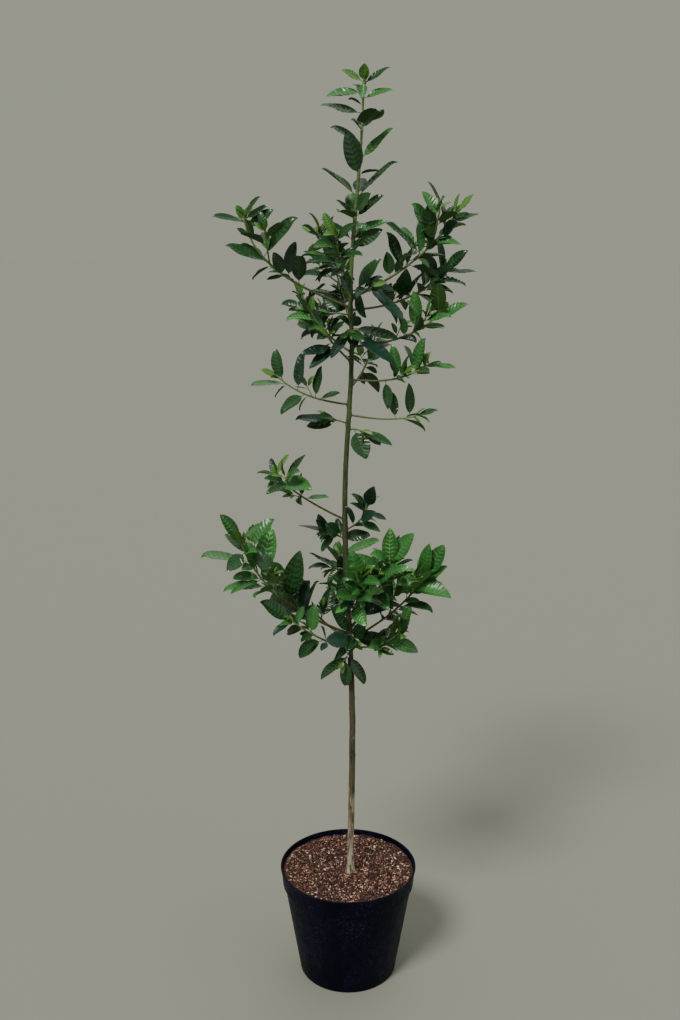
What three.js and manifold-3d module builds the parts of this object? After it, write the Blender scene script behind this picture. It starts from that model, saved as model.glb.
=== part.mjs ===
// A young holly tree in a black nursery pot, about 1.8 m tall.
// One slender trunk rises from bark compost, bare at the foot and again at mid height.
// Leafy shoots leave it in three tiers, and a leader with single leaves tops it.
// Units are millimetres and degrees, +Z is up, and the origin is the centre of the pot's
// flat underside. Headings turn about +Z: 0 is right (+X), 90 is back (+Y), 180 is left.

import * as THREE from 'three';
import { mergeVertices } from 'three/addons/utils/BufferGeometryUtils.js';
import Module from 'manifold-3d';

const wasm = await Module();
wasm.setup();

// ---------------------------------------------------------------- driving dimensions

const GAP = 0.3; // clearance between any two pieces

const POT = {
  height: 234, rimRadius: 140, lipWidth: 3.4, lipHeight: 4.6, lipOut: 1.6, bevel: 1,
  collarDepth: 38, collarStep: 3.6, collarFlare: 3.2,
  baseRadius: 100, footChamfer: 3, wall: 2.4, floor: 3, sides: 24,
};
const DRAIN = { count: 6, radius: 7, ring: 78, sides: 8 };
// The compost is level round the trunk, then rises a little, and lies highest at the pot's wall
const SOIL = { top: 217, plateau: 18, slopeRadius: 54, slopeRise: 2.5, edgeRise: 8 };

const TRUNK = {
  tip: 1468, // the trunk node ends here and the leader goes on
  top: 1790, // height at which the taper would reach nothing
  radius: 6.6, taperPower: 0.4, flare: 4.5, flareHeight: 13,
  flareRings: [5, 12, 24, 44], // heights above the compost
  sides: 8, ringStep: 70, pathSteps: 40,
};
const LEADER = { tip: 1762, sides: 4, pathSteps: 12 };
// [height, offset]: where the trunk's sway turns round, sideways and front to back
const SWAY_X = [[217, 5], [525, 8], [1005, -7.5], [1310, 5], [1377, 2.5], [1764, 24]];
const SWAY_Y = [[217, 0], [640, -5], [1180, 5], [1764, -4]];

const LIMB = {
  steps: 24, baseRadius: 1.3, radiusPerLength: 0.0052, tipRadius: 1.3, sides: 4, ringStep: 30,
};
// Side twigs leave a shoot to its right and left in turn. Lengths are shares of the shoot's.
const TWIG = {
  turns: [160, 20], turnSpread: 30, spread: 48, length: [0.2, 0.28], lastAt: 0.82, inStep: 0.6,
  lift: 0.09, steps: 6, rootRadius: 1.6, tipRadius: 1.3, sides: 3, rings: 3, leaves: 4,
};

// A leaf's form: its stalk's share of its length, the blade's outline, and where its tip hooks
const LEAF = {
  stalk: 0.14, stalkHalf: 0.55, halfThickness: 0.42, outlinePower: 0.7, hookFrom: 0.75, steps: 20,
  smallLength: 52, smallBlade: [0.48], largeLength: 70, largeBlade: [0.38, 0.72],
};
// How the leaves of the rule stand on their limb. A pair is [least, most], drawn in between.
const RULE = {
  goldenTurn: 137.5, turnSpread: 36, shootTurn: 40, crowding: 1.25,
  spreadRoot: 66, spreadTip: 26, spreadSpread: 22, standFade: 0.6,
  length: [0.85, 1.15], youngFrom: 0.76, youngScale: 0.66, broadSpread: 0.1,
  faceAlong: 0.4, lean: 1, leanHeading: -90, leanSpread: 220,
  bend: [8, 42], hook: [0, 70], fold: [12, 30], swing: 38,
  afterBare: 0.04, fromTrunk: 0.2, fromTwigRoot: 0.25,
};
// The same for the leaves that stand out, which have their own sizes
const OWN_RULE = { bend: [-8, 12], hook: [15, 65], fold: [6, 16], swing: 9 };
// Clear distances that a leaf keeps: to leaves of other masses, of its own mass, and to limbs
const KEEP = { others: 9, own: 5.5, limb: 5, ownLimb: 2.2, twig: 9, farRoots: 200 };
const TRIES = 6; // directions tried for a leaf before it is skipped
// The points of a blade that clearances are measured at: shares of its length, and the share
// of its half width where that is over widerThan
const SAMPLE = { shares: [0.3, 0.48, 0.66, 0.84, 1], edge: 0.62, widerThan: 3 };
// Every shoot has a hundred seeds of its own
const SEED = { leader: 7000, shoot: 100, twigLeaves: 20, nextTwig: 10, own: 60, twigPath: 90 };

// Every shoot: root height z on the trunk, heading, rise at its root and at its tip, turn of
// heading along it, length, bow (how late it turns up), the share of it that is bare bough
// (0: leaves straight from the trunk), leaves on its stem, side twigs, leaf length, how broad
// its leaves are for their length, how far they stand up (+) or hang (-), the seed of its
// leaves and their tint. In each shoot, own lists the leaves that stand out, as rows of
// share along the shoot, heading, rise, length, width, and how far it faces the front.
const PLAIN_SHOOT = {
  turn: 0, bow: 1.6, bare: 0.3, leaves: 8, twigs: 0, leaf: 62, broad: 0.38, stand: 0.1, tint: 'dark', own: [],
};
const SHOOTS = [
  {
    name: 'high_left', z: 1372, heading: 190, rise: 22, tipRise: 86, bow: 2.4, length: 268,
    bare: 0.34, leaves: 4, twigs: 1, seed: 11,
    own: [
      [0.95, -170, 10, 59, 20, 0.7], [0.99, -29, 44, 48, 17, 0.7], [0.97, -9, 27, 49, 20, 0.7],
      [0.91, -11, 32, 60, 23, 1.6], [0.85, -171, 32, 27, 12, 1.6], [0.65, -171, 20, 81, 25, 0.7],
      [0.69, -25, 52, 97, 30, 0.7], [0.51, -142, 63, 45, 23, 1.6], [0.39, -85, 61, 66, 28, 0.2],
      [0.96, -144, 59, 30, 15, 1.6],
    ],
  },
  {
    name: 'high_left_inner', z: 1416, heading: 150, rise: 42, tipRise: 70, length: 112,
    bare: 0, leaves: 11, seed: 12, tint: 'green',
    own: [[0.34, -148, 65, 74, 29, 1.6]],
  },
  {
    name: 'high_right', z: 1388, heading: -6, rise: 26, tipRise: 60, turn: 8, length: 248,
    bare: 0.3, leaves: 8, twigs: 2, stand: 0.2, seed: 13,
    own: [
      [0.61, -154, 39, 91, 39, 0.4], [0.44, -152, 64, 74, 27, 0.7], [0.33, -132, 77, 47, 23, 1.6],
      [0.69, -104, 79, 77, 29, 1.6], [0.73, -160, 59, 81, 49, 0.4], [0.92, -164, 57, 83, 25, 0.4],
      [1, -14, 44, 44, 16, 0.7], [0.92, -8, 13, 53, 19, 0.7], [0.8, -47, 29, 47, 27, 1.6],
      [0.73, -10, 3, 40, 16, 1],
    ],
  },
  {
    name: 'high_right_back', z: 1368, heading: 30, rise: 2, tipRise: 46, turn: -8, length: 212,
    leaves: 8, twigs: 1, seed: 14,
    own: [
      [1, -124, 75, 62, 23, 0.4], [0.9, -122, 43, 68, 34, 1.6], [0.52, -84, 50, 74, 31, 1.6],
      [0.37, -86, 40, 61, 26, 1.6], [0.82, -15, 44, 60, 23, 1.6], [1, -15, 41, 62, 24, 1],
      [1, -9, 0, 64, 19, 0.4],
    ],
  },
  {
    name: 'high_right_inner', z: 1402, heading: -52, rise: 6, tipRise: 10, length: 60,
    bare: 0, leaves: 4, stand: -0.4, seed: 15, tint: 'bluish',
    own: [[0.25, -24, 54, 75, 27, 0.7], [0.88, -15, -38, 83, 35, 0.4]],
  },
  {
    name: 'high_front', z: 1408, heading: -104, rise: 26, tipRise: 60, length: 150,
    leaves: 8, stand: 0, seed: 16,
  },
  {
    name: 'high_back', z: 1340, heading: 98, rise: 24, tipRise: 66, turn: 10, length: 226,
    leaves: 9, twigs: 1, seed: 17,
  },
  {
    name: 'mid_right', z: 1301, heading: 8, rise: 4, tipRise: 46, length: 182,
    bare: 0.38, leaves: 5, twigs: 1, leaf: 58, stand: 0.2, seed: 18, tint: 'green',
    own: [
      [0.97, -99, 51, 74, 31, 0.2], [0.69, -127, 80, 75, 30, 0.4], [0.95, -10, 21, 63, 25, 1],
      [0.55, -95, 74, 35, 15, 1.6],
    ],
  },
  {
    name: 'mid_left', z: 1271, heading: 202, rise: 44, tipRise: 60, length: 130,
    bare: 0.32, leaves: 4, leaf: 58, seed: 19, tint: 'green',
    own: [
      [0.91, -166, 50, 48, 16, 0.7], [0.6, 178, 56, 51, 19, 1], [0.58, -171, 27, 65, 22, 0.4],
      [0.35, -171, -13, 68, 23, 0.7], [0.35, -170, -41, 64, 25, 0.7],
    ],
  },
  {
    name: 'mid_front_spur', z: 1338, heading: -95, rise: -5, tipRise: -20, length: 32,
    bare: 0, leaves: 3, leaf: 64, stand: -0.5, seed: 20, tint: 'bluish',
    own: [
      [0.25, -71, -58, 42, 25, 1.5], [0.25, -9, -13, 91, 32, 0.7], [1, -12, -37, 113, 42, 0.4],
    ],
  },
  {
    name: 'mid_left_spur', z: 1358, heading: 176, rise: 12, tipRise: -5, length: 42,
    bare: 0, leaves: 2, stand: -0.3, seed: 21,
    own: [[0.41, 178, 5, 71, 27, 0.7]],
  },
  {
    name: 'mid_back_left', z: 1290, heading: 132, rise: 20, tipRise: 60, length: 178,
    leaves: 8, twigs: 1, seed: 22,
  },
  {
    name: 'waist_right', z: 1240, heading: -20, rise: -3, tipRise: 38, length: 154,
    bare: 0.4, leaves: 3, leaf: 54, stand: 0.25, seed: 23, tint: 'green',
    own: [
      [0.82, -53, 73, 68, 28, 0.4], [0.84, 179, 68, 53, 24, 0.2], [0.59, 200, 81, 63, 23, 0.7],
      [1, -10, -3, 52, 20, 0.4], [0.44, -64, -76, 54, 20, 0.2],
    ],
  },
  {
    name: 'waist_back', z: 1225, heading: 72, rise: 12, tipRise: 52, length: 186,
    bare: 0.35, leaves: 9, leaf: 58, seed: 24,
  },
  {
    name: 'waist_left', z: 1193, heading: 186, rise: 8, tipRise: 46, length: 150,
    bare: 0.36, leaves: 2, leaf: 56, seed: 25,
    own: [
      [0.68, -29, 82, 77, 32, 0.2], [0.95, -162, 30, 41, 14, 1], [0.84, -170, 5, 67, 30, 0.2],
      [0.39, -14, 22, 43, 17, 0.7], [0.44, -57, 75, 63, 22, 0.4],
    ],
  },
  {
    name: 'waist_right_low', z: 1174, heading: -14, rise: -8, tipRise: 16, length: 130,
    bare: 0.42, leaves: 1, leaf: 52, stand: 0.25, seed: 26,
    own: [
      [0.69, 125, 74, 52, 19, 0.2], [0.9, -116, 82, 66, 20, 0.4], [0.99, -15, 22, 44, 17, 0.7],
    ],
  },
  {
    name: 'waist_spur', z: 1146, heading: -30, rise: 10, tipRise: -20, length: 30,
    bare: 0, leaves: 1, leaf: 60, stand: -0.5, seed: 27, tint: 'bluish',
    own: [[0.7, -10, -23, 72, 24, 0.4], [0.46, -47, -58, 62, 37, 1.3]],
  },
  {
    name: 'waist_left_spur', z: 1156, heading: 188, rise: 25, tipRise: 0, length: 36,
    bare: 0, leaves: 1, leaf: 62, stand: -0.3, seed: 28,
    own: [[0.77, -170, 4, 75, 31, 0.4], [0.57, 177, -11, 61, 23, 1.6]],
  },
  {
    name: 'low_left', z: 971, heading: 184, rise: 27, tipRise: 46, length: 166,
    bare: 0.5, leaves: 5, twigs: 1, leaf: 50, stand: 0.2, seed: 29, tint: 'green',
    own: [
      [0.84, -15, 53, 72, 27, 0.4], [0.96, -19, 59, 51, 16, 0.4], [0.88, -50, 0, 91, 38, 1.6],
      [0.53, -9, 5, 46, 20, 0.2],
    ],
  },
  {
    name: 'low_right', z: 950, heading: -10, rise: 30, tipRise: 80, length: 66,
    bare: 0, leaves: 5, leaf: 52, seed: 30, tint: 'bluish',
    own: [
      [1, -77, 46, 66, 26, 1.6], [0.51, -47, 32, 49, 22, 1.6], [0.84, -10, -16, 43, 16, 0.4],
    ],
  },
  {
    name: 'low_spur', z: 934, heading: 150, rise: 12, tipRise: 4, length: 38,
    bare: 0, leaves: 4, leaf: 56, stand: -0.2, seed: 31,
    own: [
      [0.33, -133, 41, 48, 29, 1.6], [0.82, -170, 20, 68, 29, 0.2], [0.25, 9, 3, 59, 25, 1.6],
    ],
  },
  {
    name: 'base_left', z: 741, heading: 190, rise: 25, tipRise: 74, length: 302,
    bare: 0.24, leaves: 7, twigs: 3, leaf: 68, broad: 0.44, stand: 0.2, seed: 32, tint: 'green',
    own: [
      [0.99, -155, 58, 66, 28, 0.7], [0.99, -15, 43, 59, 23, 0.4], [0.84, -170, 15, 96, 39, 0.2],
      [0.91, -127, -25, 55, 28, 1.6], [0.77, -125, 74, 61, 29, 0.4], [0.72, 41, 73, 99, 40, 1.4],
      [0.47, -46, 72, 115, 40, 1.4], [0.64, -170, 0, 89, 33, 0.2], [0.7, -146, -12, 71, 25, 0.2],
      [0.35, -50, 75, 72, 32, 0.4],
    ],
  },
  {
    name: 'base_left_low', z: 708, heading: 206, rise: 26, tipRise: 44, length: 150,
    leaves: 4, broad: 0.44, seed: 33,
    own: [
      [1, -161, 39, 73, 33, 1], [0.99, -166, -31, 47, 21, 0.2], [0.62, -124, 2, 35, 17, 1.6],
      [0.64, -75, 74, 66, 29, 0.4], [0.37, -113, -13, 31, 14, 1.6],
    ],
  },
  {
    name: 'base_right_upright', z: 752, heading: -30, rise: 50, tipRise: 76, length: 184,
    bare: 0.25, leaves: 10, twigs: 1, leaf: 72, broad: 0.48, stand: 0.2, seed: 34, tint: 'bright',
    own: [
      [0.92, -90, 81, 77, 31, 1.5], [0.94, -12, 53, 77, 34, 1.3], [0.88, -6, 51, 56, 23, 0.7],
    ],
  },
  {
    name: 'base_right', z: 728, heading: 4, rise: 30, tipRise: 62, length: 208,
    bare: 0.28, leaves: 8, twigs: 2, leaf: 72, broad: 0.48, seed: 35, tint: 'bright',
    own: [
      [0.91, -44, 78, 78, 28, 0.4], [0.94, -19, 60, 80, 34, 1.4], [0.9, -9, 31, 59, 25, 0.7],
      [0.72, 4, 31, 61, 27, 0.7],
    ],
  },
  {
    name: 'base_front', z: 762, heading: -78, rise: 40, tipRise: 72, length: 166,
    bare: 0.25, leaves: 10, leaf: 70, broad: 0.46, seed: 36, tint: 'bright',
    own: [
      [0.81, -136, 75, 81, 38, 1.4], [0.64, -142, 71, 52, 23, 1.6], [0.29, -167, 28, 42, 22, 1.6],
    ],
  },
  {
    name: 'base_right_front', z: 714, heading: -42, rise: 12, tipRise: 50, length: 144,
    leaves: 5, leaf: 66, broad: 0.44, stand: 0, seed: 37, tint: 'green',
    own: [[1, -33, 69, 57, 27, 0.4], [1, -72, 41, 56, 19, 1.3], [0.63, -41, 31, 49, 21, 1.3]],
  },
  {
    name: 'base_back', z: 736, heading: 96, rise: 26, tipRise: 60, length: 200,
    leaves: 8, twigs: 1, leaf: 66, broad: 0.44, seed: 38,
    own: [[1, -10, 26, 87, 42, 0.2]],
  },
  {
    name: 'base_back_left', z: 724, heading: 146, rise: 24, tipRise: 56, length: 196,
    leaves: 8, twigs: 1, leaf: 66, broad: 0.44, seed: 39,
  },
  {
    name: 'base_back_right', z: 748, heading: 50, rise: 30, tipRise: 62, length: 202,
    leaves: 8, twigs: 1, leaf: 68, broad: 0.44, seed: 40, tint: 'green',
  },
  {
    name: 'base_spur', z: 700, heading: -120, rise: -6, tipRise: -30, length: 28,
    bare: 0, leaves: 1, leaf: 60, stand: -0.9, seed: 41,
    own: [[0.25, -164, -33, 74, 29, 0.4], [0.25, -27, -53, 67, 24, 0.4]],
  },
  {
    name: 'base_front_spur', z: 744, heading: -75, rise: 0, tipRise: -25, length: 36,
    bare: 0, leaves: 3, leaf: 62, stand: -0.3, seed: 42,
    own: [
      [0.25, -170, 57, 73, 23, 1.3], [0.84, -171, 2, 54, 32, 1.6], [0.69, -13, -16, 78, 33, 1.6],
      [0.95, -47, 58, 55, 26, 1.6],
    ],
  },
  {
    name: 'low_left_spur', z: 872, heading: 172, rise: 10, tipRise: -5, length: 28,
    bare: 0, leaves: 2, leaf: 58, stand: -0.2, seed: 43,
    own: [[0.51, -171, 29, 68, 26, 0.2]],
  },
].map((shoot) => ({ ...PLAIN_SHOOT, ...shoot }));

// The leader's own leaves, from the tip down, and then those at its back: height on it,
// heading, rise, length, width, and how far it faces the front
const LEADER_LEAVES = [
  [1761, -84, 65, 31, 19, 1.4], [1757, -12, 31, 55, 18, 0.7], [1761, -168, 25, 44, 17, 1],
  [1761, -100, -64, 34, 15, 1.6], [1734, -10, 14, 54, 23, 0.7], [1745, -172, -9, 67, 29, 0.7],
  [1709, -171, 9, 78, 26, 0.7], [1689, -68, 13, 79, 44, 0.2], [1632, -11, 40, 79, 27, 0.7],
  [1659, 181, 33, 63, 24, 0.7], [1601, -130, 69, 83, 36, 1.4], [1566, -17, 46, 98, 32, 0.4],
  [1569, -166, 41, 80, 35, 0.4], [1530, -150, 45, 49, 18, 0.7], [1530, -120, 17, 60, 36, 0.2],
  [1542, -57, 36, 52, 29, 1.6], [1532, -16, 40, 65, 25, 0.7], [1507, -11, 19, 64, 23, 0.7],
  [1479, -15, 32, 64, 25, 1.6], [1472, -55, 47, 33, 12, 1.3], [1493, -168, 33, 70, 26, 0.7],
  [1738, 97, 32, 50, 20, 0.7], [1684, 82, 22, 64, 28, 0.7], [1620, 112, 42, 62, 27, 0.7],
  [1572, 78, 28, 66, 27, 0.7], [1538, 100, 38, 62, 28, 0.7], [1500, 76, 24, 62, 26, 0.7],
];

const FINISH = {
  pot: { color: 0x17181b, roughness: 0.55 },
  soil: { color: 0x5a3a28, roughness: 0.95 },
  bark: { color: 0x7a6a52, roughness: 0.8 },
  twig: { color: 0x5c6a34, roughness: 0.7 },
  dark: { color: 0x1f3a1c, roughness: 0.35 },
  bluish: { color: 0x2b4442, roughness: 0.3 },
  green: { color: 0x33561f, roughness: 0.35 },
  bright: { color: 0x4b7a2c, roughness: 0.35 },
};

// ---------------------------------------------------------------- small helpers

const LEVEL = 0.05; // shorter than this, a cross product gives no direction
const UP = new THREE.Vector3(0, 0, 1);
const FRONT = new THREE.Vector3(0, -1, 0);
const rad = THREE.MathUtils.degToRad;
const lerp = THREE.MathUtils.lerp;
const within = ([least, most], draw) => lerp(least, most, draw);
const spreadBy = (whole, draw) => whole * (draw - 0.5);

// A repeatable stream of numbers from 0 to 1
function randomFrom(seed) {
  const range = 4294967296;
  let state = (seed * 2654435761) % range;
  const next = () => {
    state = (state * 1664525 + 1013904223) % range;
    return state / range;
  };
  next();
  next();
  return next;
}

// Smooth turn from one [height, value] pair to the next
function alongTable(table, height) {
  let k = 0;
  while (k < table.length - 2 && height > table[k + 1][0]) k += 1;
  const [z0, v0] = table[k];
  const [z1, v1] = table[k + 1];
  const share = Math.min(Math.max((height - z0) / (z1 - z0), 0), 1);
  return lerp(v0, v1, (1 - Math.cos(Math.PI * share)) / 2);
}

function direction(heading, rise) {
  const flat = Math.cos(rad(rise));
  return new THREE.Vector3(
    flat * Math.cos(rad(heading)), flat * Math.sin(rad(heading)), Math.sin(rad(rise)));
}

// Two unit vectors across a direction: level to its left, and the one above it
function acrossOf(along) {
  const left = new THREE.Vector3().crossVectors(UP, along);
  if (left.length() < LEVEL) left.set(0, 1, 0);
  left.normalize();
  const above = new THREE.Vector3().crossVectors(along, left).normalize();
  return [left, above];
}

const moved = (point, vector, distance) => point.clone().addScaledVector(vector, distance);

// ---------------------------------------------------------------- solids

// The faces between two rings of points, wound left about the way they go. Where the rings
// have equal counts, the diagonals of neighbouring sides mirror each other, so that a thin
// twisted blade doesn't cut through itself.
function band(first, count, next, nextCount) {
  const faces = [];
  if (count === nextCount) {
    for (let j = 0; j < count; j += 1) {
      const [a, b] = [first + j, first + ((j + 1) % count)];
      const [d, c] = [next + j, next + ((j + 1) % count)];
      if (j % 2) faces.push(a, b, d, b, c, d);
      else faces.push(a, b, c, a, c, d);
    }
    return faces;
  }
  let [i, j] = [0, 0];
  while (i < count || j < nextCount) {
    const here = first + (i % count);
    const there = next + (j % nextCount);
    if (i < count && (i + 1) / count <= (j + 1) / nextCount) {
      faces.push(here, first + ((i + 1) % count), there);
      i += 1;
    } else {
      faces.push(here, next + ((j + 1) % nextCount), there);
      j += 1;
    }
  }
  return faces;
}

// A closed body through rings of points. It starts with a flat cap, and ends in one or in a
// point.
function loft(rings, tip) {
  const points = rings.flat();
  const faces = [];
  let first = 0;
  for (let j = 1; j < rings[0].length - 1; j += 1) faces.push(0, j + 1, j);
  for (let i = 0; i < rings.length - 1; i += 1) {
    faces.push(...band(first, rings[i].length, first + rings[i].length, rings[i + 1].length));
    first += rings[i].length;
  }
  const count = rings.at(-1).length;
  if (tip) {
    const apex = points.push(tip) - 1;
    for (let j = 0; j < count; j += 1) faces.push(first + j, first + ((j + 1) % count), apex);
  } else {
    for (let j = 1; j < count - 1; j += 1) faces.push(first, first + j, first + j + 1);
  }
  const geometry = new THREE.BufferGeometry().setFromPoints(points);
  geometry.setIndex(faces);
  return geometry;
}

// A ring of points round a place on a limb
function ringAt(centre, along, radius, sides) {
  const [left, above] = acrossOf(along);
  return Array.from({ length: sides }, (_, k) => {
    const angle = (2 * Math.PI * k) / sides;
    return moved(moved(centre, left, -radius * Math.cos(angle)), above, -radius * Math.sin(angle));
  });
}

function toSolid(geometry) {
  const plain = geometry.clone();
  plain.deleteAttribute('normal');
  plain.deleteAttribute('uv');
  const merged = mergeVertices(plain, 1e-4);
  return new wasm.Manifold(new wasm.Mesh({
    numProp: 3,
    vertProperties: new Float32Array(merged.attributes.position.array),
    triVerts: new Uint32Array(merged.index.array),
  }));
}

function toGeometry(solid) {
  const { vertProperties, triVerts } = solid.getMesh();
  const geometry = new THREE.BufferGeometry();
  geometry.setAttribute('position', new THREE.BufferAttribute(new Float32Array(vertProperties), 3));
  geometry.setIndex(new THREE.BufferAttribute(new Uint32Array(triVerts), 1));
  return geometry;
}

// The largest body of a solid: what a cut leaves over is dropped
function largestOf(solid) {
  return solid.decompose().sort((a, b) => b.volume() - a.volume())[0];
}

// ---------------------------------------------------------------- trunk and limbs

const trunkAxis = (z) => new THREE.Vector3(alongTable(SWAY_X, z), alongTable(SWAY_Y, z), z);

function trunkRadius(z) {
  const share = (z - SOIL.top) / (TRUNK.top - SOIL.top);
  const taper = TRUNK.radius * (1 - Math.max(share, 0)) ** TRUNK.taperPower;
  return taper + TRUNK.flare * Math.exp((SOIL.top - z) / TRUNK.flareHeight);
}

// Level rings up the trunk from one height to another, closer together in the root flare
function trunkRings(from, to, extra, sides) {
  const inFlare = TRUNK.flareRings.map((rise) => SOIL.top + rise).filter((z) => z > from);
  const heights = [from, ...inFlare];
  const start = heights.at(-1);
  const count = Math.ceil((to - start) / TRUNK.ringStep);
  for (let k = 1; k <= count; k += 1) heights.push(lerp(start, to, k / count));
  return heights.map((z) => {
    const radius = trunkRadius(z) + extra;
    const centre = trunkAxis(z);
    return Array.from({ length: sides }, (_, k) => {
      const angle = (2 * Math.PI * k) / sides;
      return new THREE.Vector3(
        centre.x + radius * Math.cos(angle), centre.y + radius * Math.sin(angle), z);
    });
  });
}

// The middle line of a shoot: it leaves the trunk's axis and its rise grows towards the tip
function shootPath(shoot) {
  const points = [trunkAxis(shoot.z)];
  for (let k = 0; k < LIMB.steps; k += 1) {
    const share = (k + 0.5) / LIMB.steps;
    const rise = lerp(shoot.rise, shoot.tipRise, share ** shoot.bow);
    const step = direction(shoot.heading + shoot.turn * share, rise);
    points.push(moved(points[k], step, shoot.length / LIMB.steps));
  }
  return points;
}

// The point and the direction at a share of a path of even steps
function onPath(path, share) {
  const place = Math.min(Math.max(share, 0), 1) * (path.length - 1);
  const k = Math.min(Math.floor(place), path.length - 2);
  const along = path[k + 1].clone().sub(path[k]).normalize();
  return [path[k].clone().lerp(path[k + 1], place - k), along];
}

function makeLimb(path, length, rootRadius, tipRadius) {
  const radiusAt = (share) => lerp(rootRadius, tipRadius, share);
  return { path, length, radiusAt };
}

function limbSolid(limb, from, to, sides, rings) {
  const shares = Array.from({ length: rings + 1 }, (_, k) => lerp(from, to, k / rings));
  return toSolid(loft(shares.map((share) => {
    const [centre, along] = onPath(limb.path, share);
    return ringAt(centre, along, limb.radiusAt(share), sides);
  })));
}

// ---------------------------------------------------------------- leaves

// A leaf's middle line, width and fold at a share of its length. It bends away from its
// upper face, more so near its tip, and its two halves rise from the midrib.
function leafFrames(leaf, shares) {
  const { steps, stalk, hookFrom, outlinePower } = LEAF;
  const points = [leaf.root.clone()];
  const tangents = [];
  for (let k = 0; k < steps; k += 1) {
    const share = (k + 0.5) / steps;
    const hooked = Math.max((share - hookFrom) / (1 - hookFrom), 0);
    const angle = rad(leaf.bend * share + leaf.hook * hooked * hooked);
    const tangent = leaf.along.clone().multiplyScalar(Math.cos(angle));
    tangent.addScaledVector(leaf.face, -Math.sin(angle));
    tangents.push(tangent);
    points.push(moved(points[k], tangent, leaf.length / steps));
  }
  const side = new THREE.Vector3().crossVectors(leaf.face, leaf.along).normalize();
  return shares.map((share) => {
    const place = share * steps;
    const k = Math.min(Math.floor(place), steps - 1);
    const centre = points[k].clone().lerp(points[k + 1], place - k);
    const normal = new THREE.Vector3().crossVectors(tangents[k], side).normalize();
    const blade = Math.max((share - stalk) / (1 - stalk), 0);
    const half = (leaf.width / 2) * (4 * blade * (1 - blade)) ** outlinePower;
    return { centre, normal, side, half };
  });
}

// Points spread over a blade, which stand for it where clearances are measured
function leafSamples(leaf) {
  const samples = [];
  for (const { centre, normal, side, half } of leafFrames(leaf, SAMPLE.shares)) {
    samples.push(centre);
    if (half < SAMPLE.widerThan) continue;
    const reach = half * SAMPLE.edge * Math.cos(rad(leaf.fold));
    const lift = half * SAMPLE.edge * Math.sin(rad(leaf.fold));
    for (const way of [-1, 1]) samples.push(moved(moved(centre, side, way * reach), normal, lift));
  }
  return samples;
}

// A leaf's solid: a three-sided stalk sunk in its twig, and a thin folded blade with sharp
// edges. A larger leaf's blade has one more pair of corners, and a small one has no stalk.
function leafSolid(leaf) {
  const { stalkHalf, halfThickness } = LEAF;
  const stalk = leaf.length < LEAF.smallLength ? [0] : [0, LEAF.stalk];
  const blade = leaf.length < LEAF.largeLength ? LEAF.smallBlade : LEAF.largeBlade;
  const frames = leafFrames(leaf, [...stalk, ...blade, 1]);
  const tip = frames.pop().centre;
  const rings = frames.map(({ centre, normal, side, half }, k) => {
    if (k < stalk.length) {
      const corner = (way) => moved(moved(centre, side, way * stalkHalf), normal, stalkHalf / 2);
      return [corner(1), corner(-1), moved(centre, normal, -stalkHalf)];
    }
    const reach = half * Math.cos(rad(leaf.fold));
    const lift = half * Math.sin(rad(leaf.fold));
    const edge = (way) => moved(moved(centre, side, way * reach), normal, lift);
    const middle = (way) => moved(centre, normal, way * halfThickness);
    return [edge(1), middle(1), edge(-1), middle(-1)];
  });
  return toSolid(loft(rings, tip));
}

function distanceToPath(point, limb) {
  let least = Infinity;
  const segment = new THREE.Line3();
  const nearest = new THREE.Vector3();
  for (let k = 0; k < limb.path.length - 1; k += 1) {
    segment.set(limb.path[k], limb.path[k + 1]).closestPointToPoint(point, true, nearest);
    const radius = limb.radiusAt((k + 0.5) / limb.path.length);
    least = Math.min(least, nearest.distanceTo(point) - radius);
  }
  return least;
}

// ---------------------------------------------------------------- growth rule

// The direction of a leaf or twig on a limb: spread away from it at a turn round it
function spreadFrom(along, turn, spread) {
  const [left, above] = acrossOf(along);
  const out = left.multiplyScalar(Math.cos(rad(turn))).addScaledVector(above, Math.sin(rad(turn)));
  const kept = along.clone().multiplyScalar(Math.cos(rad(spread)));
  return kept.addScaledVector(out, Math.sin(rad(spread)));
}

// Side twigs of a shoot: to its left and right in turn, and rising at their ends. One that
// comes near another limb is skipped.
function sideTwigs(shoot, stem, limbs) {
  const twigs = [];
  for (let q = 0; q < shoot.twigs; q += 1) {
    const random = randomFrom(shoot.seed * SEED.shoot + SEED.twigPath + q);
    const share = lerp(shoot.bare, TWIG.lastAt, (q + TWIG.inStep) / shoot.twigs);
    const length = shoot.length * within(TWIG.length, random());
    const turn = TWIG.turns[(q + shoot.seed) % 2] + spreadBy(TWIG.turnSpread, random());
    const [root, along] = onPath(stem.path, share);
    const start = spreadFrom(along, turn, TWIG.spread);
    const path = [root];
    for (let k = 0; k < TWIG.steps; k += 1) {
      const step = start.clone().addScaledVector(UP, TWIG.lift * k).normalize();
      path.push(moved(path[k], step, length / TWIG.steps));
    }
    const clear = path.slice(2).every((point) => limbs.every(
      (limb) => limb === stem || distanceToPath(point, limb) > KEEP.twig));
    if (clear) twigs.push(makeLimb(path, length, TWIG.rootRadius, TWIG.tipRadius));
  }
  return twigs;
}

// The way a leaf's upper side faces: to the sky, and part of the way along other pulls
function faceOf(along, ...pulls) {
  const face = UP.clone();
  for (const [pull, share] of pulls) face.addScaledVector(pull, share);
  face.addScaledVector(along, -face.dot(along));
  if (face.length() < LEVEL) face.copy(acrossOf(along)[1]);
  return face.normalize();
}

// The turn by which an attempt departs from the first: to one side and the other in turn
const swingOf = (attempt, swing) => Math.ceil(attempt / 2) * swing * (attempt % 2 ? 1 : -1);

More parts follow.
